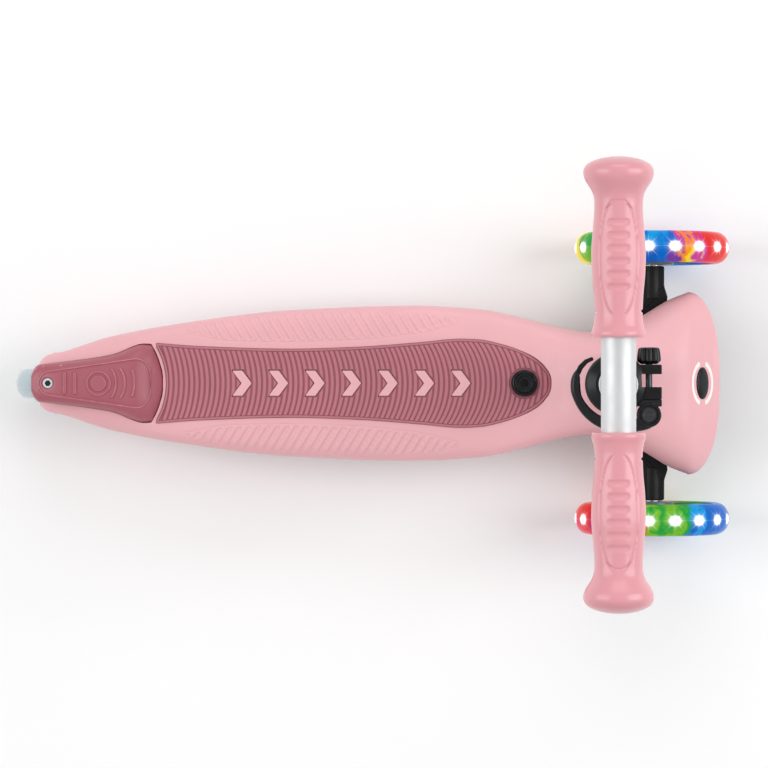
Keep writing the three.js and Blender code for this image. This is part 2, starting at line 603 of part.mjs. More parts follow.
// Torsion spring coiled round the hinge pin.
function brakeSpring() {
  const { turns, radius, half, wire: thickness } = SPRING;
  const steps = turns * 10;
  const path = Array.from({ length: steps + 1 }, (_, i) => {
    const angle = (2 * Math.PI * i) / 10;
    const y = (2 * half * i) / steps - half;
    return v3(HINGE.x + radius * Math.cos(angle), y, HINGE.z + radius * Math.sin(angle));
  });
  const curve = new THREE.CatmullRomCurve3(path);
  const wire = new THREE.Shape().absarc(0, 0, thickness, 0, 2 * Math.PI);
  return solid(new THREE.ExtrudeGeometry(wire, { steps, extrudePath: curve, curveSegments: 3 }));
}

// ---- column, clamp and handlebar, built about the column's own axis ----

const lowerTube = () => sleeve(COLUMN.inner, COLUMN.outer, COLUMN.foot, COLUMN.top, 24);
const shimSleeve = () => sleeve(STEM.outer + GAP, COLUMN.inner - GAP, 250, COLUMN.top - GAP, 24);

function stemTube() {
  const tube = sleeve(STEM.inner, STEM.outer, STEM.foot, BAR.height, 24);
  const saddle = bar(BAR.outer + GAP, v3(0, -60, BAR.height), v3(0, 60, BAR.height), 20);
  return cut(tube, saddle);
}

function stemPlug() {
  const [wide, narrow, face] = [15.2, STEM.inner - GAP, STEM.foot - GAP];
  return turned([[0, 106], [wide, 106], [wide, face], [narrow, face], [narrow, 134], [0, 134]], 14);
}

function handlebarTube() {
  const tube = (r, half) => bar(r, v3(0, -half, BAR.height), v3(0, half, BAR.height), 24);
  return cut(tube(BAR.outer, BAR.half), tube(BAR.inner, BAR.half + 5));
}

// Grip about Z, from its closed outer end inwards.
function gripShape() {
  const knob = [[0, 0], [12, 1.4], [17.2, 3.4], [20.4, 5.7], [22.1, 10], [20.6, 15.6], [17, 21.4]];
  const palm = [[15.2, 29], [17.1, 60], [15.4, 88], [15, 99], [17.1, 111], [16.4, GRIP.length]];
  const bore = [[BAR.outer + GAP, GRIP.length], [BAR.outer + GAP, GRIP.wall], [0, GRIP.wall]];
  return turned([...knob, ...palm, ...bore], 18);
}

function clampCollar() {
  const [low, high] = [CLAMP.height - CLAMP.half, CLAMP.height + CLAMP.half];
  const [around, within, step] = [COLUMN.outer + GAP, STEM.outer + GAP, COLUMN.top + GAP];
  const collar = ring([[around, low], [20.5, low], [CLAMP.radius, low + 1], [CLAMP.radius, high - 5],
    [20, high - 3], [14, high], [within, high], [within, step], [around, step]], 24);
  const ear = (y0, y1) => cut(box(13, 31.9, y0, y1, CLAMP.height - 9, CLAMP.height + 9),
    bar(around, v3(0, 0, 0), v3(0, 0, 400), 24));
  const slit = box(10, 40, -2.1, 6.9, low - 1, step);
  const lidSlit = box(around, 40, -2.1, 6.9, step - 1, high + 1);
  const band = join(collar, ear(6, 13.6), ear(SADDLE.top + GAP, -1));
  return cut(band, slit, lidSlit, clampRodBar(GAP, -30, 30));
}

// Bar along the clamp rod's axis, as the rod itself or as the hole round it.
function clampRodBar(grow, from, to) {
  const at = (y) => v3(CLAMP.rodX, y, CLAMP.height);
  return bar(CLAMP.rodR + grow, at(from), at(to), 12);
}

const clampRod = () => clampRodBar(0, -16.9, 24);

// Bar along the axis that the lever turns about.
function camBar(radius, half) {
  return bar(radius, v3(CAM.x, CAM.y, CLAMP.height - half), v3(CAM.x, CAM.y, CLAMP.height + half), 20);
}

const camPin = () => camBar(CAM.pinR, CAM.halfHeight + 1.5);

function clampSaddle() {
  const { back, front, low, top, half } = SADDLE;
  const block = box(back, front, low, top, CLAMP.height - half, CLAMP.height + half);
  const hollow = camBar(CAM.headR + GAP, half + 1);
  const bandSide = bar(CLAMP.radius + GAP, v3(0, 0, CLAMP.height - 20), v3(0, 0, CLAMP.height + 20), 24);
  return cut(block, hollow, bandSide, clampRodBar(GAP, -30, 0));
}

function splinePoints(points) {
  const curve = new THREE.CatmullRomCurve3(points.map(([x, y]) => v3(x, y, 0)));
  return curve.getPoints(12).map(({ x, y }) => [x, y]);
}

// C-shaped lever that hugs the collar, with a forked cam head on the pin.
function clampLever() {
  const outer = splinePoints([[29.6, -27], [24, -31.4], [14, -33.4], [0, -33], [-13, -29.6], [-24, -20.5],
    [-30.6, -8], [-31.6, 2], [-28.6, 10.4]]);
  const inner = splinePoints([[-23.6, 8], [-24.8, 0], [-23.4, -9], [-17, -17.6], [-9, -22.6], [2, -24.6],
    [14, -24], [19, -21]]);
  const outline = [...outer, ...inner];
  const [low, high] = [CLAMP.height - CAM.halfHeight, CLAMP.height + CAM.halfHeight];
  const head = camBar(CAM.headR, CAM.halfHeight);
  const tip = slab([[-29, 7], [-26, 13], [-21.6, 17.2], [-16.2, 19.2], [-15.4, 16.8], [-19.6, 14.6],
    [-23, 10.8], [-25, 6.4]], low, low + 5);
  const fork = slab([[17, -12], [38, -12], [38, -40], [27, -36], [CAM.x + 0.5, CAM.y - 5.4], [18, -20]],
    CLAMP.height - CAM.fork, CLAMP.height + CAM.fork);
  const pinHole = camBar(CAM.pinR + GAP, CAM.halfHeight + 2);
  return cut(join(slab(outline, low, high), head, tip), fork, pinHole);
}

// Lobed, tapered thumb nut on the rod.
function thumbNut() {
  const lobes = 8;
  const ringAt = (y, radius) => Array.from({ length: lobes * 3 }, (_, i) => {
    const angle = (2 * Math.PI * i) / (lobes * 3);
    const r = radius + 0.7 * Math.cos(lobes * angle);
    return v3(CLAMP.rodX + r * Math.cos(angle), y, CLAMP.height + r * Math.sin(angle));
  });
  const profile = [[13.9, 5.4], [15, 6.4], [16.2, 7.6], [21, 7.3], [25.6, 6.3]];
  const knob = loft(profile.map(([y, radius]) => ringAt(y, radius)));
  return cut(knob, clampRodBar(GAP, 10, 24.4));
}

function columnGroup() {
  const group = new THREE.Group();
  group.position.set(COLUMN.x, 0, COLUMN.z);
  group.rotation.y = -COLUMN.rake;
  group.add(
    piece('column_tube', lowerTube(), finish.silver),
    piece('shim_sleeve', shimSleeve(), finish.black),
    piece('stem_tube', stemTube(), finish.silver),
    piece('stem_plug', stemPlug(), finish.black),
    piece('handlebar_tube', handlebarTube(), finish.silver),
    piece('clamp_collar', clampCollar(), finish.black),
    piece('clamp_rod', clampRod(), finish.steel),
    piece('cam_pin', camPin(), finish.charcoal),
    piece('clamp_saddle', clampSaddle(), finish.charcoal),
    piece('clamp_lever', clampLever(), finish.charcoal),
    piece('thumb_nut', thumbNut(), finish.black),
  );
  for (const [side, name] of [[1, 'left'], [-1, 'right']]) {
    const grip = piece(`grip_${name}`, gripShape(), finish.gripPink);
    grip.position.set(0, side * GRIP.end, BAR.height);
    grip.rotation.x = (side * Math.PI) / 2;
    group.add(grip);
  }
  return group;
}

function lockButton() {
  const cap = join(ovalPeg(BUTTON.halfWide - 1.2, BUTTON.halfLong - 1.2, -BUTTON.inside, BUTTON.proud),
    ovalPeg(BUTTON.halfWide, BUTTON.halfLong, -BUTTON.inside, BUTTON.proud - 0.9));
  const foot = v3(BUTTON.x, 0, BUTTON.z).addScaledVector(buttonAxis, -BUTTON.inside - 9);
  return join(cap, bar(3.5, foot, v3(BUTTON.x, 0, BUTTON.z), 16));
}

// ---- the assembly ----

const scooter = new THREE.Group();
const plug = piece('deck_plug', deckPlug(), finish.charcoal);
plug.position.x = PLUG.x;
scooter.add(
  piece('deck_body', deckBody(), finish.pink),
  piece('grip_mat', gripMat(), finish.rose),
  plug,
  piece('column_ring', columnRing(), finish.black),
  piece('truck_cover', truckCover(), finish.black),
  piece('lock_button', lockButton(), finish.charcoal),
  piece('tie_rod', tieRod(), finish.steel),
  piece('brake_fender', brakeFender(), finish.brakeRose),
  piece('brake_pad', brakePad(), finish.steel),
  piece('brake_screw', brakeScrew(), finish.steel),
  piece('brake_hinge_pin', hingePin(), finish.steel),
  piece('brake_spring', brakeSpring(), finish.steel),
  rearWheel(),
  columnGroup(),
);
for (const [side, name] of [[1, 'left'], [-1, 'right']]) {
  scooter.add(
    frontWheel(side, name),
    piece(`steering_arm_${name}`, steeringArm(side), finish.black),
    piece(`kingpin_${name}`, kingpin(side), finish.steel),
    piece(`kingpin_bush_${name}`, kingpinBush(side), finish.hubWhite),
    piece(`centring_bush_${name}`, centringBush(side), finish.rubber),
    piece(`tie_pin_${name}`, tiePin(side), finish.steel),
    piece(`cover_screw_${name}`, coverScrew(side), finish.steel),
  );
}

export default scooter;
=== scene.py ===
"""Three-wheel kick scooter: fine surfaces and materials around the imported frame, in millimetres."""
import math

import bmesh
import bpy
import numpy as np
from mathutils import Matrix, Vector


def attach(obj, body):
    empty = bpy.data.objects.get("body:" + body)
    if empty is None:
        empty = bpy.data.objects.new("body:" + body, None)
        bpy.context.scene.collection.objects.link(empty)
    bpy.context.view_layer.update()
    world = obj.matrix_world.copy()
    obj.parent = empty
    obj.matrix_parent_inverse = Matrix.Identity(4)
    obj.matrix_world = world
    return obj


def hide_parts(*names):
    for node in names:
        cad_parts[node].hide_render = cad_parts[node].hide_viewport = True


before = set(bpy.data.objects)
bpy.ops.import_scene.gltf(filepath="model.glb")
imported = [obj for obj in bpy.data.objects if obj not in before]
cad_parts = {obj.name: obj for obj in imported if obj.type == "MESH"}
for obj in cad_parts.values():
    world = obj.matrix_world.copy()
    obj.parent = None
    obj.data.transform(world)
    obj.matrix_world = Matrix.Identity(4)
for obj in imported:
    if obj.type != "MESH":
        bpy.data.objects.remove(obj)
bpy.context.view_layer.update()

MM = 0.001
GAP = 0.3  # clearance between neighbours
FAR = 120  # top of the cutters that open upwards through the deck
SIDES = {"left": 1, "right": -1}
SHARP_ANGLE = 32


# ---- driving dimensions, shared with the CAD part ----

FRONT_X, FRONT_Y, FRONT_R, FRONT_HALF, FRONT_BORE = 220.2, 106, 60.5, 12.3, 47.8
REAR_X, REAR_R, REAR_HALF, REAR_BORE = -240.7, 40, 11.7, 29.3
AXLE_R, BEARING_R = 4, 11
BOSS_R, BOSS_OUT, RECESS_R, RECESS = 11, 24.2, 7.6, 20
TAIL, NOSE, NOSE_HALF, FRONT, WALL = -260.5, 247, 71, 271.4, 4.5
SLOT_FRONT, SLOT_HALF, POCKET_FLOOR, POCKET_DEEP = -197, 13.2, 74, 66
CELL_END, CELL_PITCH, CELL_RIB, CELL_BORDER, CELL_LOW, CELL_HIGH = 150, 60, 3, 10, 30, 80
MAT_FLOOR, MAT_BOTTOM, MAT_GROOVE, MAT_TOP, MAT_TIP = 84.7, 85, 87.4, 88.2, 139.7
BRAKE_ARC_X, BRAKE_ARC_R, BRAKE_GAP = -217.1, 54.8, 0.7
FENDER_SIDE, FENDER_ROOF = 3.2, 3.4
CHEVRON_FIRST, CHEVRON_PITCH, CHEVRON_COUNT = -99.6, 28.4, 7
CHEVRON_HALF, CHEVRON_STROKE, CHEVRON_LEAD, CHEVRON_TOP = 9.8, 8, 2.5, 88
PLUG_X = 119.1
COLUMN_X, COLUMN_Z, RAKE = 187.7, 100, math.radians(3.09)
TUBE_OUT, TUBE_IN, TUBE_FOOT, TUBE_TOP = 17.5, 16, -45, 308
STEM_OUT, STEM_IN, STEM_FOOT = 12, 10.2, 120
BAR_HEIGHT, BAR_OUT, BAR_IN, BAR_HALF, GRIP_END, GRIP_LENGTH = 580.8, 11, 9.4, 138, 143, 113.2
CLAMP_HEIGHT, CLAMP_HALF, CLAMP_R, ROD_X, ROD_R = 300.4, 15, 21.5, 23, 2.4
CAM_X, CAM_Y, CAM_PIN, CAM_HEAD, CAM_HALF, CAM_FORK = 23, -21.5, 4.2, 8.6, 8, 3.2
SADDLE_BACK, SADDLE_FRONT, SADDLE_LOW, SADDLE_TOP = 15.5, 31.9, -15.6, -10.9
SLIT, NUT_LOBES = (-2.1, 6.9), 8
KING_X, KING_Y, KING_Z, KING_LEAN, KING_HALF = 215, 39, 66, math.radians(28), 14
KING_PIN, KING_BUSH, KNUCKLE = 4.2, 5.8, 9.2
TIE_REACH, TIE_LOW, TIE_HIGH, TIE_PIN, TIE_EYE, TIE_THICK = 24, 9, 14, 3, 6, 4
BUTTON_X, BUTTON_Z, BUTTON_TILT = 257, 96.5, math.radians(45)
BUTTON_WIDE, BUTTON_LONG, BUTTON_PROUD, BUTTON_INSIDE = 12, 7, 1.5, 6
HINGE_X, HINGE_Z, HINGE_PIN, HINGE_LUG, PIN_HALF = -181, 82.6, 3, 6.2, 20.6
DECK_LUG, BRAKE_LUG = (15.6, 21.8), (9.2, 15.3)
SCREW_X, SCREW_FOOT, SCREW_HEAD, SCREW_TOP = -251.6, 83, 89.3, 91.6
PAD_LOW, PAD_HIGH = 83.4, 84.9
COVER_UNDER, COVER_FLOOR, COVER_FRONT = 44, 47, 262
POST_X, POST_Y, POST_R, POST_FOOT, POST_ROOT = 254.5, 20, 4.2, 46.3, 93
SCREW_R, SCREW_HOLE = 2, 2.3
ARM_LOW, ARM_HIGH, ARM_BOSS, ARM_BOSS_FROM, ARM_FACE = 53, 68.5, 9.2, 66, 14.3


# ---- mesh helpers ----

def placed(name, data):
    """New object in the scene that holds this data."""
    obj = bpy.data.objects.new(name, data)
    bpy.context.scene.collection.objects.link(obj)
    return obj


def add_mesh(name, corners, faces):
    """New mesh object from corners in millimetres, faces turned outwards."""
    mesh = bpy.data.meshes.new(name)
    mesh.from_pydata((np.asarray(corners, float) * MM).tolist(), [], faces)
    obj = placed(name, mesh)
    tidy_mesh(obj)
    return obj


def tidy_mesh(obj, merge=1e-7):
    work = bmesh.new()
    work.from_mesh(obj.data)
    bmesh.ops.remove_doubles(work, verts=work.verts, dist=merge)
    bmesh.ops.dissolve_degenerate(work, edges=work.edges, dist=1e-8)
    bmesh.ops.recalc_face_normals(work, faces=work.faces)
    work.to_mesh(obj.data)
    work.free()


def loft(name, rings):
    """Closed skin through rings of equally many points."""
    rings = np.asarray(rings, float)
    count, around = rings.shape[:2]
    faces = [list(range(around))[::-1], [(count - 1) * around + i for i in range(around)]]
    for j in range(count - 1):
        for i in range(around):
            a, b = j * around + i, j * around + (i + 1) % around
            faces.append([a, b, b + around, a + around])
    return add_mesh(name, rings.reshape(-1, 3), faces)


def turned(name, profile, sides=96, place=Matrix.Identity(4)):
    """Solid of revolution about Z from (radius, z) points, placed by a matrix in millimetres."""
    profile = list(profile)
    closed = profile[0][0] > 0 and profile[-1][0] > 0
    angles = np.linspace(0, 2 * math.pi, sides, endpoint=False)
    corners = np.array([[(r * math.cos(a), r * math.sin(a), z) for a in angles] for r, z in profile])
    faces = []
    rows = len(profile)
    for j in range(rows if closed else rows - 1):
        k = (j + 1) % rows
        for i in range(sides):
            n = (i + 1) % sides
            faces.append([j * sides + i, j * sides + n, k * sides + n, k * sides + i])
    flat = corners.reshape(-1, 3) @ np.array(place.to_3x3()).T + np.array(place.translation)
    return add_mesh(name, flat, faces)


def ring_profile(inner, outer, low, high, edge=0.4):
    return rounded([(inner, low), (outer, low), (outer, high), (inner, high)], edge, closed=True)


def rounded(points, radius, closed=False, steps=4):
    """Polyline with each corner replaced by a small arc; radius may be one number or one for each point."""
    points = [np.array(p, float) for p in points]
    count = len(points)
    radii = radius if hasattr(radius, "__len__") else [radius] * count
    result = []
    for i, point in enumerate(points):
        if radii[i] <= 0 or (not closed and i in (0, count - 1)):
            result.append(tuple(point))
            continue
        before, after = points[i - 1] - point, points[(i + 1) % count] - point
        len_a, len_b = np.linalg.norm(before), np.linalg.norm(after)
        before, after = before / len_a, after / len_b
        turn = math.acos(max(-1, min(1, float(before @ after))))
        if turn > math.pi - 0.05:
            result.append(tuple(point))
            continue
        reach = min(radii[i] / math.tan(turn / 2), 0.45 * len_a, 0.45 * len_b)
        size = reach * math.tan(turn / 2)
        centre = point + (before + after) / np.linalg.norm(before + after) * size / math.sin(turn / 2)
        start, end = point + before * reach - centre, point + after * reach - centre
        first, last = math.atan2(start[1], start[0]), math.atan2(end[1], end[0])
        sweep = (last - first + math.pi) % (2 * math.pi) - math.pi
        for k in range(steps + 1):
            angle = first + sweep * k / steps
            result.append((centre[0] + size * math.cos(angle), centre[1] + size * math.sin(angle)))
    return result


def inset(outline, distance):
    """Closed outline moved inwards by a small distance."""
    points = np.array(outline, float)
    ahead = np.roll(points, -1, 0) - points
    area = np.sum(points[:, 0] * np.roll(points[:, 1], -1) - points[:, 1] * np.roll(points[:, 0], -1))
    normal = np.stack([-ahead[:, 1], ahead[:, 0]], 1) * np.sign(area)
    normal /= np.maximum(np.linalg.norm(normal, axis=1, keepdims=True), 1e-9)
    middle = normal + np.roll(normal, 1, 0)
    length = np.maximum(np.linalg.norm(middle, axis=1, keepdims=True), 0.7)
    return points + middle / length ** 2 * 2 * distance


def slab(name, outline, low, high, place=Matrix.Identity(4), edge=0.0):
    """Flat plate: an outline in X and Y between two heights, with rounded edges if edge is given."""
    steps = [(0, 0)]
    if edge:
        arcs = np.linspace(0, math.pi / 2, 4 if edge < 1 else 7)
        steps = [(edge * (1 - math.sin(a)), edge * (1 - math.cos(a))) for a in arcs]
    levels = [(shift, low + rise) for shift, rise in steps]
    levels += [(shift, high - rise) for shift, rise in steps[::-1]]
    rings = []
    for shift, z in levels:
        flat = inset(outline, shift) if shift > 0 else np.array(outline, float)
        rings.append([tuple(place @ Vector((x, y, z))) for x, y in flat])
    return loft(name, rings)


def box(name, x0, x1, y0, y1, z0, z1, place=Matrix.Identity(4), corner=0.0, edge=0.0):
    outline = rounded([(x0, y0), (x1, y0), (x1, y1), (x0, y1)], corner, closed=True)
    return slab(name, outline, z0, z1, place, edge)


def along(start, end):
    """Matrix that lays +Z from one point towards another."""
    start, end = Vector(start), Vector(end)
    turn = (end - start).to_track_quat("Z", "Y")
    return Matrix.Translation(start) @ turn.to_matrix().to_4x4()


def disc(radius, low, high, edge=0.0):
    """Profile of a plain round bar between two heights."""
    return rounded([(0, low), (radius, low), (radius, high), (0, high)], [0, edge, edge, 0])


def bar(name, radius, start, end, sides=48, edge=0.0):
    length = (Vector(end) - Vector(start)).length
    return turned(name, disc(radius, 0, length, edge), sides, along(start, end))


def upright(name, radius, x, y, low, high, sides=48, edge=0.0):
    return bar(name, radius, (x, y, low), (x, y, high), sides, edge)


def across_deck(name, radius, x, z, start, end, sides=48, edge=0.0):
    """Bar along Y at one place in the side view."""
    return bar(name, radius, (x, start, z), (x, end, z), sides, edge)


def boolean(obj, operation, tools):
    """Joins or cuts with each tool and removes the tools."""
    for tool in tools:
        modifier = obj.modifiers.new("shape", "BOOLEAN")
        modifier.operation = operation
        modifier.solver = "MANIFOLD"
        modifier.object = tool
        apply_modifiers(obj)
        bpy.data.objects.remove(tool)
    return obj


def apply_modifiers(obj):
    bpy.context.view_layer.update()
    shape = obj.evaluated_get(bpy.context.evaluated_depsgraph_get())
    mesh = bpy.data.meshes.new_from_object(shape)
    obj.modifiers.clear()
    old = obj.data
    obj.data = mesh
    bpy.data.meshes.remove(old)


def join(obj, *tools):
    return boolean(obj, "UNION", tools)


def cut(obj, *tools):
    return boolean(obj, "DIFFERENCE", tools)


def common(obj, *tools):
    return boolean(obj, "INTERSECT", tools)


def smooth_shade(obj):
    """Smooth shading with sharp edges kept; large faces stay flat."""
    obj.data.shade_smooth()
    obj.data.set_sharp_from_angle(angle=math.radians(SHARP_ANGLE))
    modifier = obj.modifiers.new("flats", "WEIGHTED_NORMAL")
    modifier.keep_sharp = True
    apply_modifiers(obj)


def settle(obj, body, slot, *nodes, look=None):
    """Shades a finished piece, gives it its look and hands it to the frame."""
    smooth_shade(obj)
    obj.data.materials.clear()
    obj.data.materials.append(LOOKS[look or slot])
    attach(obj, body)
    if nodes:
        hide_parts(*nodes)


def smooth(points):
    """Smooth curve through (x, value) points that never overshoots them."""
    xs, ys = np.array(points, float).T
    rise = np.diff(ys) / np.diff(xs)
    slope = np.concatenate([[rise[0]], np.zeros(len(xs) - 2), [rise[-1]]])
    for i in range(1, len(xs) - 1):
        if rise[i - 1] * rise[i] > 0:
            slope[i] = 2 * rise[i - 1] * rise[i] / (rise[i - 1] + rise[i])

    def value(x):
        i = int(np.clip(np.searchsorted(xs, x) - 1, 0, len(xs) - 2))
        width = xs[i + 1] - xs[i]
        t = min(max((x - xs[i]) / width, 0), 1)
        bend = width * t * (1 - t) * ((1 - t) * slope[i] - t * slope[i + 1])
        return ys[i] + (ys[i + 1] - ys[i]) * t * t * (3 - 2 * t) + bend

    return value


def shares(edge, flat):
    """Shares of the half width from +1 to -1, closest together at both edges."""
    rim = 1 - 0.12 * np.linspace(0, 1, edge) ** 2
    return np.concatenate([rim, np.linspace(0.88, -0.88, flat)[1:-1], -rim[::-1]])


def section(x, half, top, rim, low, crown, belly, fine=24):
    """Cross-section at x: a crown above the rim and a belly below it, both rounded to full width."""
    upper, lower = shares(12, fine), shares(7, 14)[1:-1][::-1]
    y = half * np.concatenate([upper, lower])
    over = rim + (top - rim) * np.sqrt(1 - np.abs(upper) ** crown)
    under = rim - (rim - low) * np.sqrt(1 - np.abs(lower) ** belly)
    return np.stack([np.full(len(y), float(x)), y, np.concatenate([over, under])], 1)


def raise_top(ring, relief, fine):
    """Adds a relief, a height at each x and y, to the upper side of a cross-section."""
    count = len(shares(12, fine))
    ring[:count, 2] += relief(ring[:count, 0], ring[:count, 1])
    return ring


def step(distance, width=0.5):
    """0 outside and 1 inside a shape, from its signed distance, with a smooth slope between."""
    t = np.clip(0.5 - np.asarray(distance, float) / width, 0, 1)
    return t * t * (3 - 2 * t)


# ---- deck curves ----

deck_side = smooth([
    (TAIL, 17), (-255, 22), (-243, 24.6), (-205, 36.3), (-149, 46.8), (-65, 57), (32, 60.6), (85, 57.7),
    (122, 49.9), (150, 42.6), (172, 40), (190, 43.4), (211, 52.7), (232, 65.1), (NOSE, NOSE_HALF)])
deck_top = smooth([
    (TAIL, 66), (-250, 72), (-232, 78), (-205, 83), (-172, 87), (100, 87), (125, 89), (145, 95),
    (160, 102.5), (175, 110), (190, 114), (212, 114), (232, 112), (243, 109), (BUTTON_X, BUTTON_Z),
    (266, 87.8), (FRONT, 85)])
deck_rim = smooth([(TAIL, 58), (-232, 66), (-190, 73), (-150, 76), (120, 76), (165, 79), (205, 82),
                   (FRONT, 83.5)])
deck_low = smooth([(TAIL, 31), (-248, 28), (-230, 29), (-200, 41), (-190, 42), (160, 42), (185, 44),
                   (197, 46), (205, 72), (214, 77), (262, 77.5), (FRONT, 82)])
deck_crown = smooth([(TAIL, 4), (-200, 7), (-150, 9), (110, 9), (145, 5), (168, 3.2), (200, 2.8), (FRONT, 3)])
BELLY = 6  # how square the deck's lower side is


def deck_half(x):
    if x <= NOSE:
        return deck_side(x)
    t = (x - NOSE) / (FRONT - NOSE)
    return NOSE_HALF * max(1 - t * t, 0) ** (1 / 2.6)


def deck_height(x, y):
    """Height of the deck's upper surface."""
    share = min(abs(y) / deck_half(x), 1)
    return deck_rim(x) + (deck_top(x) - deck_rim(x)) * math.sqrt(1 - share ** deck_crown(x))


mat_side = smooth([(-169, 31.2), (-133, 28.5), (-63, 26.5), (-9, 28.1), (38, 31.6), (70, 34.3), (85, 33.6),
                   (100, 30.4), (116, 25.2), (131, 16.8), (137.5, 9)])
brake_side = smooth([(-264.9, 7), (-262.5, 12), (-258.9, 14.6), (-249.5, 15.6), (-226, 18.2), (-203, 21.9),
                     (-195, 24.5), (-187, 28), (-178, 30.6), (-172, 30.4), (-170, 29)])
brake_top = smooth([(-264.9, 88), (-258, 91), (-245, 93.6), (-220, 95.5), (-198, 97.5), (-185, 98.5),
                    (-177, 96.5), (-169, 91), (-162.3, 85)])
brake_rim = smooth([(-264.9, 82.5), (-245, 84.5), (-200, 84.5), (-175, 83), (-162.3, 82)])


def brake_half(x):
    if x < -170:
        return brake_side(x)
    return min(math.sqrt(max(BRAKE_ARC_R ** 2 - (x - BRAKE_ARC_X) ** 2, 0)), 29)


def king_point(side, height, ahead=0.0):
    """Point along a kingpin's axis, and ahead of it square to the axis."""
    s, c = math.sin(KING_LEAN), math.cos(KING_LEAN)
    return Vector((KING_X + height * s + ahead * c, side * KING_Y, KING_Z + height * c - ahead * s))


def king_frame(side):
    """Matrix whose Z runs up a kingpin's axis."""
    return Matrix.Translation(king_point(side, 0)) @ Matrix.Rotation(KING_LEAN, 4, "Y")


def king_bar(name, radius, side, low, high, sides=48, edge=0.0, ahead=0.0):
    """Bar along a kingpin's axis, or ahead of it."""
    return bar(name, radius, king_point(side, low, ahead), king_point(side, high, ahead), sides, edge)


def column_at(x, y, z):
    return COLUMN @ Vector((x, y, z))


def across_column(name, radius, x, z, start, end, sides=48, edge=0.0):
    """Bar along Y at one place beside the column."""
    return bar(name, radius, column_at(x, start, z), column_at(x, end, z), sides, edge)


COLUMN = Matrix.Translation((COLUMN_X, 0, COLUMN_Z)) @ Matrix.Rotation(-RAKE, 4, "Y")
BUTTON = Matrix.Translation((BUTTON_X, 0, BUTTON_Z)) @ Matrix.Rotation(BUTTON_TILT, 4, "Y")


# ---- materials ----

def linear(*color):
    """Linear colour from 8-bit display values."""
    display = [c / 255 for c in color]
    return tuple(c / 12.92 if c <= 0.04045 else ((c + 0.055) / 1.055) ** 2.4 for c in display)


class Nodes:
    """Small helper that adds shader nodes and links them."""

    def __init__(self, name):
        self.material = bpy.data.materials.new(name)
        self.material.use_nodes = True
        self.tree = self.material.node_tree
        self.shader = self.tree.nodes["Principled BSDF"]
        self.place = self.add("ShaderNodeTexCoord").outputs["Object"]

    def add(self, kind, **values):
        node = self.tree.nodes.new(kind)
        for key, value in values.items():
            setattr(node, key, value)
        return node

    def feed(self, socket, value):
        if hasattr(value, "links"):
            self.tree.links.new(value, socket)
        else:
            socket.default_value = value

    def math(self, operation, *values):
        node = self.add("ShaderNodeMath", operation=operation)
        for i, value in enumerate(values):
            self.feed(node.inputs[i], value)
        return node.outputs[0]

    def product(self, first, second):
        return self.math("MULTIPLY", first, second)

    def fraction(self, value):
        return self.math("FRACT", value)

    def fade(self, value, rate):
        """1 where the value is 0, falling off as it grows."""
        return self.math("EXPONENT", self.product(value, -rate))

    def noise(self, size, detail=3.0, stretch=(1, 1, 1)):
        """Noise whose cells are about this many millimetres across."""
        mapping = self.add("ShaderNodeMapping")
        mapping.inputs["Scale"].default_value = stretch
        self.feed(mapping.inputs["Vector"], self.place)
        node = self.add("ShaderNodeTexNoise")
        self.feed(node.inputs["Vector"], mapping.outputs[0])
        node.inputs["Scale"].default_value = 1 / (size * MM)
        node.inputs["Detail"].default_value = detail
        return node.outputs["Fac"]

    def spread(self, value, low, high, start=0.3, end=0.7):
        node = self.add("ShaderNodeMapRange")
        for key, number in (("From Min", start), ("From Max", end), ("To Min", low), ("To Max", high)):
            node.inputs[key].default_value = number
        self.feed(node.inputs["Value"], value)
        return node.outputs["Result"]

    def mix(self, share, first, second):
        node = self.add("ShaderNodeMix", data_type="RGBA")
        self.feed(node.inputs["Factor"], share)
        for socket, color in ((node.inputs[6], first), (node.inputs[7], second)):
            self.feed(socket, color if hasattr(color, "links") else (*color, 1))
        return node.outputs[2]

    def ramp(self, value, stops):
        node = self.add("ShaderNodeValToRGB")
        node.color_ramp.interpolation = "EASE"
        points = node.color_ramp.elements
        while len(points) < len(stops):
            points.new(0.5)
        for point, (place, color) in zip(points, stops):
            point.position = place
            point.color = (*color, 1)
        self.feed(node.inputs["Fac"], value)
        return node.outputs["Color"]

    def bump(self, height, depth, below=None):
        """Bump of this many millimetres."""
        node = self.add("ShaderNodeBump")
        node.inputs["Strength"].default_value = 1
        node.inputs["Distance"].default_value = depth * MM
        self.feed(node.inputs["Height"], height)
        if below is not None:
            self.feed(node.inputs["Normal"], below)
        return node.outputs["Normal"]

    def axis(self, name):
        node = self.add("ShaderNodeSeparateXYZ")
        self.feed(node.inputs[0], self.place)
        return node.outputs[name]


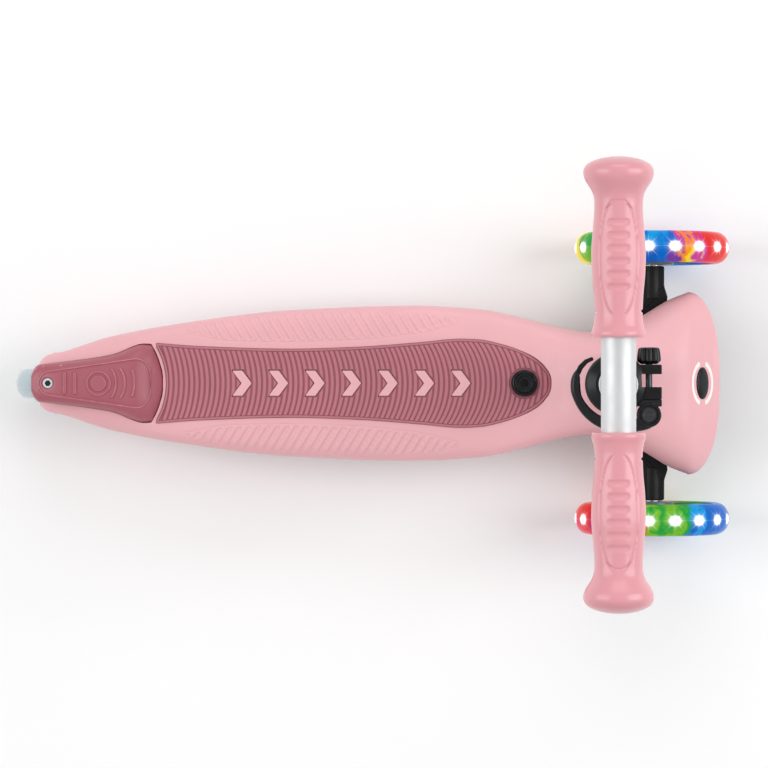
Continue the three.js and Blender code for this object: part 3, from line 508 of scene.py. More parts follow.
def finish_of(name, color, rough=0.45, grain=0.6, depth=0.03, mottle=0.05, edge_wear_and_highlight=0.5, metal=0.0,
              stretch=(1, 1, 1), coat=0.0, specular=0.5, sheen=0.0, edge_wear_and_highlight_color=None, edge_pointiness=(0.52, 0.62)):
    """Moulded or drawn surface: mottled colour, fine grain, uneven gloss, and lighter pointy edges that are
    partly rubbing and partly a painted highlight.
    """
    nodes = Nodes(name)
    shader = nodes.shader
    darker = tuple(c * (1 - mottle) for c in color)
    lighter = tuple(min(1, c * (1 + mottle)) for c in color)
    base = nodes.mix(nodes.spread(nodes.noise(60, 4), 0, 1), darker, lighter)
    base = nodes.mix(nodes.spread(nodes.noise(4, 5), 0, 0.35), base, darker)
    # Pointy edges get a lighter colour: partly rubbing, partly a painted highlight.
    edge = nodes.spread(nodes.add("ShaderNodeNewGeometry").outputs["Pointiness"], 0, edge_wear_and_highlight, *edge_pointiness)
    edge_wear_and_highlight_share = nodes.math("MULTIPLY", edge, nodes.spread(nodes.noise(5, 4), 0.3, 1))
    edge_wear_and_highlight_color = edge_wear_and_highlight_color or tuple(0.55 * c + 0.45 * min(1, 1.25 * c + 0.08) for c in color)
    base = nodes.mix(edge_wear_and_highlight_share, base, edge_wear_and_highlight_color)
    nodes.feed(shader.inputs["Base Color"], base)
    nodes.feed(shader.inputs["Roughness"], nodes.spread(nodes.noise(14, 5), rough - 0.06, rough + 0.08))
    fine = nodes.bump(nodes.noise(grain, 4, stretch), depth)
    nodes.feed(shader.inputs["Normal"], nodes.bump(nodes.noise(25, 2), depth, fine))
    shader.inputs["Metallic"].default_value = metal
    shader.inputs["Coat Weight"].default_value = coat
    shader.inputs["Coat Roughness"].default_value = 0.15
    shader.inputs["Specular IOR Level"].default_value = specular
    shader.inputs["Sheen Weight"].default_value = sheen
    return nodes


def paint_shade_below(nodes, color, low, high):
    """Paints shade onto a finish: a second, darker colour below a height, blended out by another height."""
    height = nodes.spread(nodes.axis("Z"), 0, 1, low * MM, high * MM)
    base = nodes.shader.inputs["Base Color"]
    nodes.feed(base, nodes.mix(height, color, base.links[0].from_socket))
    return nodes


def ribbed_rose():
    """Rubber of the mat: its own colour on the tops of the ribs, with painted shade darkening the grooves."""
    nodes = finish_of("rose_rubber", linear(188, 114, 126), rough=0.55, grain=0.5, depth=0.04, sheen=0.1)
    # The darker colour below the rib tops is painted shade in the grooves.
    return paint_shade_below(nodes, linear(154, 88, 99), MAT_GROOVE + 0.05, MAT_TOP - 0.15)


STAR_COUNT, STAR_START = 18, 16.6  # lamps in a wheel, and the first one's angle
STAR_STEP = 2 * math.pi / STAR_COUNT


def tyre_hues(nodes, angle, across, upper, lower):
    """Colours that change round the axle, with one row on each half of the tread."""
    turn = nodes.fraction(nodes.math("ADD", nodes.math("DIVIDE", angle, 2 * math.pi), 1))
    wobble = nodes.spread(nodes.noise(7, 3, (1, 0.4, 1)), -0.02, 0.02)
    turn = nodes.fraction(nodes.math("ADD", nodes.math("ADD", turn, wobble), 1))
    return nodes.mix(nodes.spread(across, 0, 1, -3, 3), nodes.ramp(turn, lower), nodes.ramp(turn, upper))


def painted_star_glints(nodes, angle, across):
    """Painted glint over each lamp: 1 in its core, less on its eight rays and in its halo."""
    cells = nodes.math("DIVIDE", nodes.math("SUBTRACT", angle, math.radians(STAR_START)), STAR_STEP)
    cell = nodes.fraction(nodes.math("ADD", cells, STAR_COUNT + 0.5))
    ahead = nodes.product(nodes.math("SUBTRACT", cell, 0.5), FRONT_R * STAR_STEP)
    ahead, across = nodes.math("ABSOLUTE", ahead), nodes.math("ABSOLUTE", across)
    ahead_square, across_square = nodes.product(ahead, ahead), nodes.product(across, across)
    square = nodes.math("ADD", nodes.product(ahead_square, 0.62), across_square)
    core = nodes.fade(nodes.product(square, square), 0.006)
    upright_rays = nodes.fade(nodes.product(ahead, across), 1.8)
    slanted = nodes.math("ABSOLUTE", nodes.math("SUBTRACT", ahead_square, across_square))
    rays = nodes.math("MAXIMUM", upright_rays, nodes.fade(slanted, 0.5))
    rays = nodes.product(rays, nodes.fade(square, 0.025))
    halo = nodes.product(nodes.fade(square, 0.06), 0.14)
    star = nodes.math("ADD", nodes.math("ADD", core, nodes.product(rays, 0.55)), halo)
    return nodes.math("MINIMUM", star, 1)


def lit_tyre(name, side, upper, lower):
    """Clear tyre over a ring of coloured lamps, with painted star-shaped glints on the tread."""
    nodes = Nodes(name)
    x = nodes.math("SUBTRACT", nodes.axis("X"), FRONT_X * MM)
    z = nodes.math("SUBTRACT", nodes.axis("Z"), FRONT_R * MM)
    angle = nodes.math("ARCTAN2", z, x)
    across = nodes.math("DIVIDE", nodes.math("SUBTRACT", nodes.axis("Y"), side * FRONT_Y * MM), MM)
    color, star = tyre_hues(nodes, angle, across, upper, lower), painted_star_glints(nodes, angle, across)
    shader = nodes.shader
    # In each glint the base colour turns white, a painted highlight, and the emission turns bright white.
    nodes.feed(shader.inputs["Base Color"], nodes.mix(star, nodes.mix(0.5, color, (0, 0, 0)), (1, 1, 1)))
    nodes.feed(shader.inputs["Emission Color"], nodes.mix(star, color, (2.2, 2.2, 2.2)))
    nodes.feed(shader.inputs["Roughness"], nodes.spread(nodes.noise(9, 4), 0.16, 0.3))
    nodes.feed(shader.inputs["Normal"], nodes.bump(nodes.noise(3, 3), 0.05))
    shader.inputs["Emission Strength"].default_value = 0.48
    shader.inputs["IOR"].default_value = 1.16
    shader.inputs["Coat Weight"].default_value = 0.06
    shader.inputs["Coat Roughness"].default_value = 0.06
    return nodes


def socket_steel():
    """Bright screw with painted shade darkening its socket."""
    nodes = finish_of("socket_steel", linear(226, 230, 231), rough=0.3, metal=0.35, depth=0.01, edge_wear_and_highlight=0.2)
    # Darker colour down in the socket is painted shade.
    return paint_shade_below(nodes, linear(40, 54, 52), SCREW_TOP - 1.2, SCREW_TOP - 0.6)


def clear_rubber():
    """Frosted clear urethane of the rear tyre."""
    nodes = finish_of("clear_urethane", linear(192, 209, 217), rough=0.2, grain=9, depth=0.01, mottle=0.02,
                      coat=0.7, edge_wear_and_highlight=0)
    nodes.shader.inputs["Transmission Weight"].default_value = 0.15
    nodes.shader.inputs["IOR"].default_value = 1.45
    nodes.shader.inputs["Subsurface Weight"].default_value = 0.2
    nodes.shader.inputs["Subsurface Scale"].default_value = 0.004
    return nodes


def lamp_plastic():
    nodes = finish_of("lamp_ring", linear(240, 244, 250), rough=0.2, coat=0.5)
    nodes.shader.inputs["Emission Color"].default_value = (0.8, 0.9, 1, 1)
    nodes.shader.inputs["Emission Strength"].default_value = 0.5
    return nodes


YELLOW, GREEN, LIME = linear(250, 222, 20), linear(30, 160, 60), linear(120, 190, 40)
CYAN, BLUE, NAVY = linear(0, 156, 228), linear(0, 104, 200), linear(10, 60, 160)
PURPLE, MAGENTA = linear(120, 50, 160), linear(205, 60, 160)
ORANGE, RED = linear(248, 140, 30), linear(232, 42, 38)

# Hues of the lit tyres as shares of a turn, for the upper half of each tread and then the lower half.
HUES = {
    "left": ([(0, RED), (0.14, RED), (0.165, MAGENTA), (0.185, ORANGE), (0.2, MAGENTA), (0.22, BLUE),
              (0.25, CYAN), (0.3, BLUE), (0.36, GREEN), (0.43, GREEN), (0.47, YELLOW), (0.6, ORANGE),
              (0.72, MAGENTA), (0.85, PURPLE), (1, RED)],
             [(0, RED), (0.12, RED), (0.15, MAGENTA), (0.17, YELLOW), (0.19, ORANGE), (0.21, PURPLE),
              (0.24, BLUE), (0.3, NAVY), (0.36, GREEN), (0.43, LIME), (0.46, YELLOW), (0.6, LIME),
              (0.75, CYAN), (0.88, BLUE), (1, RED)]),
    "right": ([(0, BLUE), (0.135, BLUE), (0.15, CYAN), (0.162, CYAN), (0.19, GREEN), (0.22, LIME),
               (0.25, GREEN), (0.27, LIME), (0.295, ORANGE), (0.36, PURPLE), (0.42, RED), (0.55, RED),
               (0.7, ORANGE), (0.87, GREEN), (1, BLUE)],
              [(0, BLUE), (0.125, BLUE), (0.145, CYAN), (0.16, BLUE), (0.185, GREEN), (0.21, LIME),
               (0.24, GREEN), (0.265, LIME), (0.285, RED), (0.36, PURPLE), (0.42, RED), (0.55, MAGENTA),
               (0.7, PURPLE), (0.87, CYAN), (1, BLUE)]),
}


def all_looks():
    """Materials by the record's slot names, and a few more for pieces that differ within a slot."""
    tube = {"grain": 0.5, "depth": 0.015, "mottle": 0.015, "edge_wear_and_highlight": 0.1}
    made = {
        "pink_plastic": finish_of("pink_plastic", linear(236, 178, 184), rough=0.42, mottle=0.02),
        # The brake's plastic gets a strong painted highlight, a light pink, on its pointy edges and relief.
        "rose_plastic": finish_of("rose_plastic", linear(172, 92, 105), rough=0.36, mottle=0.04, edge_wear_and_highlight=1,
                                  edge_wear_and_highlight_color=linear(228, 158, 168), edge_pointiness=(0.51, 0.57)),
        "rose_mat": ribbed_rose(),
        "grip_rubber": finish_of("grip_rubber", linear(226, 154, 162), rough=0.34, mottle=0.02,
                                 depth=0.02, coat=0.3),
        "black_plastic": finish_of("black_plastic", linear(18, 20, 22), rough=0.32, depth=0.02, edge_wear_and_highlight=0.3,
                                   specular=0.28),
        # Darker copy of the black plastic: painted shade for the arms and the cover, which sit in shadow
        # under the nose.
        "shaded_black": finish_of("shaded_black_plastic", linear(16, 17, 19), depth=0.04, edge_wear_and_highlight=0.25, specular=0.25),
        "charcoal_plastic": finish_of("charcoal_plastic", linear(24, 26, 28), rough=0.26, depth=0.015,
                                      edge_wear_and_highlight=0.35, specular=0.3),
        "pin": finish_of("pin_steel", linear(66, 68, 71), rough=0.35, metal=0.6, depth=0.01),
        "bush_rubber": finish_of("bush_rubber", linear(38, 38, 40), rough=0.7, depth=0.06, edge_wear_and_highlight=0.2),
        "white": finish_of("white_plastic", linear(250, 242, 236), rough=0.35, mottle=0.02),
        "hub_plastic": finish_of("hub_plastic", linear(96, 104, 112), rough=0.35, mottle=0.06, coat=0.2),
        "rear_hub": finish_of("rear_hub_plastic", linear(214, 220, 224), rough=0.3, mottle=0.04, coat=0.2),
        "clear_tyre": clear_rubber(),
        "lamp": lamp_plastic(),
        "crossbar": finish_of("anodised_tube", linear(214, 216, 217), rough=0.5, metal=0.55,
                              stretch=(1, 0.05, 1), **tube),
        "silver_tube": finish_of("anodised_column", linear(214, 216, 218), rough=0.42, metal=0.65,
                                 stretch=(1, 1, 0.05), **tube),
        "steel": finish_of("plated_steel", linear(190, 193, 198), rough=0.24, metal=1, grain=0.3,
                           depth=0.01, mottle=0.06, edge_wear_and_highlight=0.2),
        "dark_steel": finish_of("black_steel", linear(70, 72, 76), rough=0.3, metal=0.9, depth=0.01),
        "socket_steel": socket_steel(),
    }
    for name, side in SIDES.items():
        made[f"tyre_{name}"] = lit_tyre(f"lit_tyre_{name}", side, *HUES[name])
    return {key: nodes.material for key, nodes in made.items()}


LOOKS = all_looks()


# ---- deck ----

field_inner = smooth([(-146, 40.4), (-109, 34.3), (-61, 33.5), (-14, 35.1), (34, 39.9), (68, 47.6)])
field_outer = smooth([(-146, 40.8), (-120, 47.2), (-93, 51.4), (-61, 53.4), (-14, 55.3), (34, 54.4),
                      (68, 48)])
FIELD_START, FIELD_END = -146, 68
BAR_PITCH, BAR_LEAN = 7.4, 0.61


def deck_relief(x, y):
    """Shallow sunk field beside the mat on each side, with slanting raised bars in it."""
    x, y = np.asarray(x, float), np.abs(y)
    relief = np.zeros(len(x))
    where = float(x[0])
    if FIELD_START < where < FIELD_END:
        inner, outer = field_inner(where), field_outer(where)
        distance = np.maximum(inner - y, y - outer)
        phase = ((x + BAR_LEAN * y) / BAR_PITCH) % 1
        bars = step((np.abs(phase - 0.5) - 0.25) * BAR_PITCH, 0.6)
        relief += step(distance, 0.7) * (0.85 * bars - 0.5)
        relief -= 0.4 * step(np.abs(distance - 1.6) - 0.4, 0.6) * step(distance - 3, 1)
    return relief


def mat_outline(grow):
    """Outline of the mat, moved outwards by an amount."""
    arc = BRAKE_ARC_R + 2.7 - grow
    side = [(BRAKE_ARC_X + math.sqrt(arc * arc - y * y), y) for y in np.linspace(0, 28, 15)]
    for x in np.linspace(-167, 137.5, 76):
        side.append((x + (grow * 0.7 if x > 120 else 0) - (grow if x < -160 else 0), mat_side(x) + grow))
    tip = MAT_TIP + grow
    side += [(tip - 0.9, 6.4), (tip - 0.2, 3.2)]
    return side + [(tip, 0)] + [(x, -y) for x, y in side[:0:-1]]


def brake_outline(grow):
    along = [-264.9, -262.5, -258.9] + list(np.linspace(-255, -178, 26))
    along += [-175, -172, -171, -170, -168, -166.5, -165, -164, -163.2, -162.5]
    side = [(x + (grow if x > -164 else 0), brake_half(x) + grow) for x in along]
    return side + [(x, -y) for x, y in side[::-1]]


def chevron(x, grow):
    back, wide = CHEVRON_HALF * 0.75, CHEVRON_HALF + grow
    lead, trail = (CHEVRON_LEAD + end * (CHEVRON_STROKE / 2 + grow) for end in (1, -1))
    return [(x + lead, 0), (x + lead - back, wide), (x + trail - back, wide), (x + trail, 0),
            (x + trail - back, -wide), (x + lead - back, -wide)]


CHEVRONS = [CHEVRON_FIRST + i * CHEVRON_PITCH for i in range(CHEVRON_COUNT)]
DECK_FINE = 128  # points across the deck's upper side


def deck_stations():
    """Places of the deck's cross-sections, closest together along the patterned fields."""
    field = np.linspace(FIELD_START - 1, FIELD_END + 1, 330)
    rear, front = np.linspace(TAIL, FIELD_START - 2, 40), np.linspace(FIELD_END + 2, NOSE, 74)
    rounds = np.sin(np.linspace(0, 1, 22) * math.pi / 2)[1:-1]
    tip = [NOSE + share * (FRONT - NOSE) for share in (*rounds, 0.999)]
    return [*rear, *field, *front, *tip]


def deck_hull(name, grow=0.0, relief=True):
    rings = []
    for x in deck_stations():
        ring = section(x, deck_half(x) + grow, deck_top(x) + grow, deck_rim(x), deck_low(x), deck_crown(x),
                       BELLY, DECK_FINE)
        rings.append(raise_top(ring, deck_relief, DECK_FINE) if relief else ring)
    return loft(name, rings)


def deck_cells():
    """Underside pockets between the ribs, two columns wide, with round corners."""
    cells, half = [], CELL_RIB / 2
    for start in range(-CELL_END, CELL_END, CELL_PITCH):
        back, front = start + half, start + CELL_PITCH - half
        for side in (-1, 1):
            outline = [(back, half), (front, half), (front, deck_half(front) - CELL_BORDER),
                       (back, deck_half(back) - CELL_BORDER)]
            outline = rounded([(x, side * y) for x, y in outline], 5, closed=True)
            cells.append(slab("cell", outline, CELL_LOW, CELL_HIGH))
    return cells


def nose_cavity():
    rings = []
    for x in [200, 203, 206, 210, 214, 220, 226, 232, 238, 243, 248, 252, 256, 259, 261]:
        inset_by = WALL + (1 if x > 250 else 0)
        rings.append(section(x, deck_half(x) - inset_by, deck_top(x) - WALL - 1, 78, 30, deck_crown(x), 20))
    return cut(loft("cavity", rings), box("back", 190, 214, -24, 24, 0, 130))


def deck():
    body = deck_hull("deck_shell")
    pocket = brake_outline(BRAKE_GAP / 2)
    deep = common(slab("deep", pocket, POCKET_DEEP, FAR), box("rear", -290, SLOT_FRONT, -60, 60, 0, FAR))
    body = cut(body, box("slot", TAIL - 5, SLOT_FRONT, -SLOT_HALF, SLOT_HALF, 0, FAR),
               slab("pocket", pocket, POCKET_FLOOR, FAR), deep,
               slab("recess", mat_outline(0.4), MAT_FLOOR, FAR))
    for x in CHEVRONS:
        shape = rounded(chevron(x, 0), 0.5, closed=True)
        body = join(body, slab("chevron", shape, MAT_FLOOR - 1, CHEVRON_TOP, edge=0.35))
    body = cut(body, *deck_cells(), nose_cavity())
    for side in (-1, 1):
        lug = hinge_lug(side, *DECK_LUG, HINGE_X - HINGE_LUG, HINGE_X + HINGE_LUG, 70, edge=0.6)
        near, far = side * (SLOT_HALF + 1), side * BOSS_OUT
        body = join(body, join(*lug), across_deck("boss", BOSS_R, REAR_X, REAR_R, near, far, 64, 1),
                    common(king_bar("king", 8, side, KING_HALF + 5.9, 60), deck_hull("inside", -0.5, False)),
                    upright("post", POST_R, POST_X, side * POST_Y, POST_FOOT, POST_ROOT))
        body = cut(body,
                   across_deck("axle", AXLE_R + GAP, REAR_X, REAR_R, side * (SLOT_HALF - 1), side * 30),
                   across_deck("recess", RECESS_R, REAR_X, REAR_R, side * RECESS, side * 30),
                   king_bar("pin", KING_PIN + GAP, side, KING_HALF, KING_HALF + 15),
                   upright("screw", SCREW_HOLE, POST_X, side * POST_Y, 40, 62))
    body = cut(body, across_deck("pin", HINGE_PIN + GAP, HINGE_X, HINGE_Z, -20.9, 20.9),
               upright("plug", 6.3, PLUG_X, 0, 70, 100),
               turned("button", disc(1, -12, 20), 96, button_place(0.5)),
               bar("socket", TUBE_OUT + GAP, column_at(0, 0, TUBE_FOOT - GAP), column_at(0, 0, 60), 96))
    settle(body, "deck", "pink_plastic", "deck_body")


def hinge_lug(side, near, far, back, front, height, edge=0.0):
    """Round eye for the brake's hinge pin, and a block that ties it to what is above or below."""
    eye = across_deck("lug", HINGE_LUG, HINGE_X, HINGE_Z, side * near, side * far, edge=edge)
    sides, heights = sorted((side * near, side * far)), sorted((height, HINGE_Z))
    return eye, box("block", back, front, *sides, *heights)


def button_place(clearance=0.0):
    """Matrix that turns a unit disc into the button's oval."""
    return BUTTON @ Matrix.Diagonal((BUTTON_LONG + clearance, BUTTON_WIDE + clearance, 1, 1))


# ---- mat ----

RIB_PITCH, RIB_TOP, RIB_BASE = 4.05, 2.3, 3.2
MAT_BORDER = 1.6


def rib(x):
    """One arched rib across the mat, bulging forwards."""
    radius = 80 - 30 * (x + 165) / 305
    reach = math.asin(37 / radius)
    rise = [(RIB_BASE / 2, 86), (RIB_BASE / 2, MAT_GROOVE), (RIB_TOP / 2, MAT_TOP - 0.2),
            (RIB_TOP / 2 - 0.3, MAT_TOP)]
    shape = [(-half, z) for half, z in rise] + rise[::-1]
    rings = []
    for angle in np.linspace(-reach, reach, 49):
        forward, sideways = math.cos(angle), math.sin(angle)
        rings.append([(x - radius + (radius + ahead) * forward, (radius + ahead) * sideways, z)
                      for ahead, z in shape])
    return loft("rib", rings)


def merged(name, objects):
    """One object from several that don't touch."""
    work = bmesh.new()
    for obj in objects:
        work.from_mesh(obj.data)
        bpy.data.objects.remove(obj)
    mesh = bpy.data.meshes.new(name)
    work.to_mesh(mesh)
    work.free()
    return placed(name, mesh)


def mat_opening(x, grow, corner):
    return slab("opening", rounded(chevron(x, grow), corner, closed=True), 84, 90)


def mat():
    ribs = merged("ribs", [rib(x) for x in np.arange(-160, 148, RIB_PITCH)])
    ribs = common(ribs, slab("inner", mat_outline(-MAT_BORDER - 0.5), 85.5, 89))
    ribs = cut(ribs, merged("gaps", [mat_opening(x, 1.1, 0.8) for x in CHEVRONS]),
               upright("ring", 12.2, PLUG_X, 0, 80, 95, 96))
    plate = slab("mat_ribbed", mat_outline(0), MAT_BOTTOM, MAT_TOP, edge=0.45)
    plate = cut(plate, slab("inner", mat_outline(-MAT_BORDER), MAT_GROOVE, 90))
    plate = cut(join(plate, ribs), merged("openings", [mat_opening(x, 0.4, 0.6) for x in CHEVRONS]),
                upright("hole", 10.4, PLUG_X, 0, 80, 95, 96))
    settle(plate, "deck", "rose_mat", "grip_mat")


def plug():
    profile = rounded([(0, 74), (6, 74), (6, 85), (9.2, 85.4), (10, 87), (10, 90.4), (9.1, 91.6), (8.4, 91.9),
                       (8, 91.3), (7.5, 91.3), (7.1, 92.9), (6.3, 93), (5.9, 92.4), (5.2, 92.4), (4.8, 91.6),
                       (0, 91.6)], 0.25)
    head = turned("plug_head", profile, 96, Matrix.Translation((PLUG_X, 0, 0)))
    settle(cut(head, upright("socket", 3.6, PLUG_X, 0, 85.5, 98, 6)), "deck", "charcoal_plastic", "deck_plug")


# ---- rear brake ----

PANEL_BACK, PANEL_FRONT, PANEL_END = -249.4, -183.4, -171.3
PANEL_SMALL, PANEL_WIDE = 9.4, 19
PAD_X, PAD_RING, PAD_DISC = -211.9, 10, 6.1


def panel_half(x):
    if x < PANEL_BACK:
        return math.sqrt(max(PANEL_SMALL ** 2 - (x - PANEL_BACK) ** 2, 0))
    if x > PANEL_FRONT:
        return PANEL_WIDE * max(1 - ((x - PANEL_FRONT) / (PANEL_END - PANEL_FRONT)) ** 2.4, 0) ** (1 / 2.4)
    return PANEL_SMALL + (PANEL_WIDE - PANEL_SMALL) * (x - PANEL_BACK) / (PANEL_FRONT - PANEL_BACK)


def capsule(x, y, at, reach, width):
    """Distance to a round-ended bar that lies across the deck."""
    return np.hypot(x - at, np.maximum(np.abs(y) - (reach - width / 2), 0)) - width / 2


def brake_relief(x, y):
    """Panel line, two bars, a ringed round pad and three bowed bars on top of the brake."""
    where = float(x[0])
    slope = (panel_half(where + 0.05) - panel_half(where - 0.05)) / 0.1
    distance = (np.abs(y) - panel_half(where)) / math.hypot(1, slope)
    if panel_half(where) <= 0:
        distance = np.hypot(y, max(PANEL_BACK - PANEL_SMALL - where, where - PANEL_END))
    relief = 0.55 * step(np.abs(distance) - 0.45, 0.4) - 0.6 * step(distance + 0.6, 0.6)
    for at in (-238.4, -230.4):
        relief += 1.2 * step(capsule(x, y, at, 8.5, 2.7), 0.5)
    from_pad = np.hypot(x - PAD_X, y)
    relief += 1.0 * step(np.abs(from_pad - PAD_RING + 1) - 0.9, 0.5)
    relief += 1.2 * step(from_pad - PAD_DISC, 0.5)
    for at, reach in ((-198.2, 11.4), (-191.2, 11.4), (-183.8, 10.2)):
        bow = 20 if reach > 11 else 30
        ring = np.abs(np.hypot(x - at + bow, y) - bow)
        bar_shape = np.maximum(np.maximum(ring - 0.8, np.abs(y) - reach), at - bow - x)
        relief += 1.15 * step(bar_shape, 0.5)
    relief -= 0.9 * step(np.hypot(x - SCREW_X, y) - 4.9, 0.6)
    return relief


BRAKE_FINE = 132  # points across the brake's upper side


def brake():
    along = [-264.9, -264.4, -263.6, -262.5, -261.2] + list(np.linspace(-260, -171, 220))
    along += list(np.linspace(-170.5, -162.5, 20))
    rings = []
    for x in along:
        ring = section(x, brake_half(x), brake_top(x), brake_rim(x), brake_rim(x) - 1.5, 4, 6, BRAKE_FINE)
        rings.append(raise_top(ring, brake_relief, BRAKE_FINE))
    hollow = [section(x, brake_half(x) - FENDER_SIDE, brake_top(x) - FENDER_ROOF, brake_rim(x) - 1, 70, 5, 20)
              for x in np.linspace(-258.5, -170, 24)]
    shell = cut(loft("brake_pedal", rings), loft("hollow", hollow))
    for side in (-1, 1):
        shell = join(shell, *hinge_lug(side, *BRAKE_LUG, HINGE_X - 5, HINGE_X + 3, 94.5))
    shell = cut(shell, across_deck("pin", HINGE_PIN + GAP, HINGE_X, HINGE_Z, -30, 30),
                upright("hole", SCREW_HOLE, SCREW_X, 0, 70, 100),
                upright("sink", 4 + GAP, SCREW_X, 0, SCREW_HEAD - GAP, 100))
    settle(shell, "brake", "rose_plastic", "brake_fender")
    brake_plate()
    brake_bolt()
    spring()


def brake_plate():
    """Steel pad under the brake that rubs on the tyre."""
    outline = [(-256, -7), (-252, -10), (-222, -10), (-222, 10), (-252, 10), (-256, 7)]
    plate = slab("brake_plate", rounded(outline, 1.2, closed=True), PAD_LOW, PAD_HIGH, edge=0.2)
    settle(cut(plate, upright("hole", SCREW_HOLE, SCREW_X, 0, 70, 100)), "brake", "steel", "brake_pad")


def brake_bolt():
    profile = rounded([(0, SCREW_FOOT), (2, SCREW_FOOT), (2, SCREW_HEAD), (4, SCREW_HEAD),
                       (4, SCREW_TOP - 0.5), (3.4, SCREW_TOP), (0, SCREW_TOP)], 0.2)
    screw = turned("brake_bolt", profile, 64, Matrix.Translation((SCREW_X, 0, 0)))
    screw = cut(screw, upright("socket", 2.5, SCREW_X, 0, SCREW_TOP - 2, 93, 6))
    settle(screw, "brake", "steel", "brake_screw", look="socket_steel")


def spring():
    """Torsion spring coiled round the hinge pin."""
    turns, per_turn, radius, half, thickness = 3, 40, 4.9, 7, 0.75
    curve = bpy.data.curves.new("spring_wire", "CURVE")
    curve.dimensions = "3D"
    curve.bevel_depth = thickness * MM
    curve.bevel_resolution = 4
    curve.use_fill_caps = True
    line = curve.splines.new("POLY")
    steps = turns * per_turn
    line.points.add(steps)
    for i, point in enumerate(line.points):
        angle = 2 * math.pi * i / per_turn
        x, z = HINGE_X + radius * math.cos(angle), HINGE_Z + radius * math.sin(angle)
        point.co = (x * MM, (2 * half * i / steps - half) * MM, z * MM, 1)
    wire = placed("spring_wire", curve)
    mesh = bpy.data.meshes.new_from_object(wire.evaluated_get(bpy.context.evaluated_depsgraph_get()))
    bpy.data.objects.remove(wire)
    settle(placed("spring_coil", mesh), "brake", "steel", "brake_spring")


# ---- wheels, built about Z with +Z as the outer side ----

def wheel_place(x, y, z, side):
    return Matrix.Translation((x, y, z)) @ Matrix.Rotation(-side * math.pi / 2, 4, "X")


def tyre(name, radius, half, bore, place):
    depth = radius - bore - 2.4
    tread = [(radius - depth * (1 - math.cos(a)), half * math.sin(a)) for a in np.linspace(-1.5, 1.5, 41)]
    shoulder = [(bore, -half + 2), (bore + 0.8, -half + 0.6)]
    return turned(name, shoulder + tread + [(r, -z) for r, z in shoulder[::-1]], 160, place)


def spokes(place, inner, outer, faces, count=6):
    """Wedge-shaped pockets that leave spokes standing, sunk into each of the given height ranges."""
    tools, gap = [], 2 * math.pi / count
    reach = gap / 2 - 0.17
    for middle in (gap * i for i in range(count)):
        arcs = ((inner, np.linspace(middle - reach * 0.8, middle + reach * 0.8, 9)),
                (outer, np.linspace(middle + reach, middle - reach, 13)))
        outline = [(radius * math.cos(a), radius * math.sin(a)) for radius, angles in arcs for a in angles]
        tools += [slab("pocket", rounded(outline, 1.4, closed=True), low, high, place) for low, high in faces]
    return tools


def front_hub(name, place):
    profile = rounded([(11.3, -13.2), (17, -13.2), (18.5, -5), (38, -5), (39.5, -10.8), (44.3, -10.8),
                       (44.3, 10.8), (39.5, 10.8), (38, 5), (18.5, 5), (17, 12.6), (11.3, 12.6)],
                      0.5, closed=True)
    return cut(turned(name, profile, 128, place), *spokes(place, 21, 36, [(2, 6), (-6, -2)]))


def bearing(name, low, high, place):
    """Sealed ball bearing: two steel rings with a dished dark seal between them."""
    dish = [(AXLE_R + GAP, 0), (6.2, 0), (6.5, 0.35), (8.8, 0.35), (9.1, 0), (BEARING_R, 0)]
    profile = [(r, low + depth) for r, depth in dish] + [(r, high - depth) for r, depth in dish[::-1]]
    return turned(name, rounded(profile, 0.15, closed=True), 96, place)


def front_wheel(name, side):
    place = wheel_place(FRONT_X, side * FRONT_Y, FRONT_R, side)
    wheel, arm = f"wheel_{name}", f"arm_{name}"
    settle(tyre(f"lit_tyre_{name}", FRONT_R, FRONT_HALF, FRONT_BORE, place), wheel, "lamp_tyre",
           f"tyre_{name}", look=f"tyre_{name}")
    settle(front_hub(f"wheel_hub_{name}", place), wheel, "hub_plastic", f"hub_{name}")
    ring = turned(f"glow_ring_{name}", ring_profile(44.6, 47.4, -9.5, 9.5), 128, place)
    settle(ring, wheel, "lamp", f"lamp_ring_{name}")
    for where, low, high in (("inner", -13, -6), ("outer", 5.5, 12.5)):
        race = bearing(f"{where}_race_{name}", low, high, place)
        settle(race, wheel, "steel", f"{where}_bearing_{name}")
    spacer = turned(f"magnet_core_{name}", ring_profile(AXLE_R + GAP, 7.5, -5.6, 5.1), 64, place)
    settle(spacer, arm, "steel", f"magnet_spacer_{name}")
    washer = turned(f"thrust_washer_{name}", ring_profile(AXLE_R + GAP, 8, -14, -13.4, 0.12), 64, place)
    settle(washer, arm, "steel", f"axle_washer_{name}")
    end, head, top = -38, 12.9, 14.2
    profile = rounded([(0, end), (AXLE_R, end), (AXLE_R, head), (6.3, head), (6.3, 13.5), (4.4, top),
                       (0, top)], [0, 0.5, 0, 0.1, 0.2, 0.4, 0])
    bolt = cut(turned(f"wheel_bolt_{name}", profile, 64, place),
               turned("socket", disc(2.6, top - 1, top + 2), 6, place))
    settle(bolt, arm, "steel", f"axle_bolt_{name}")


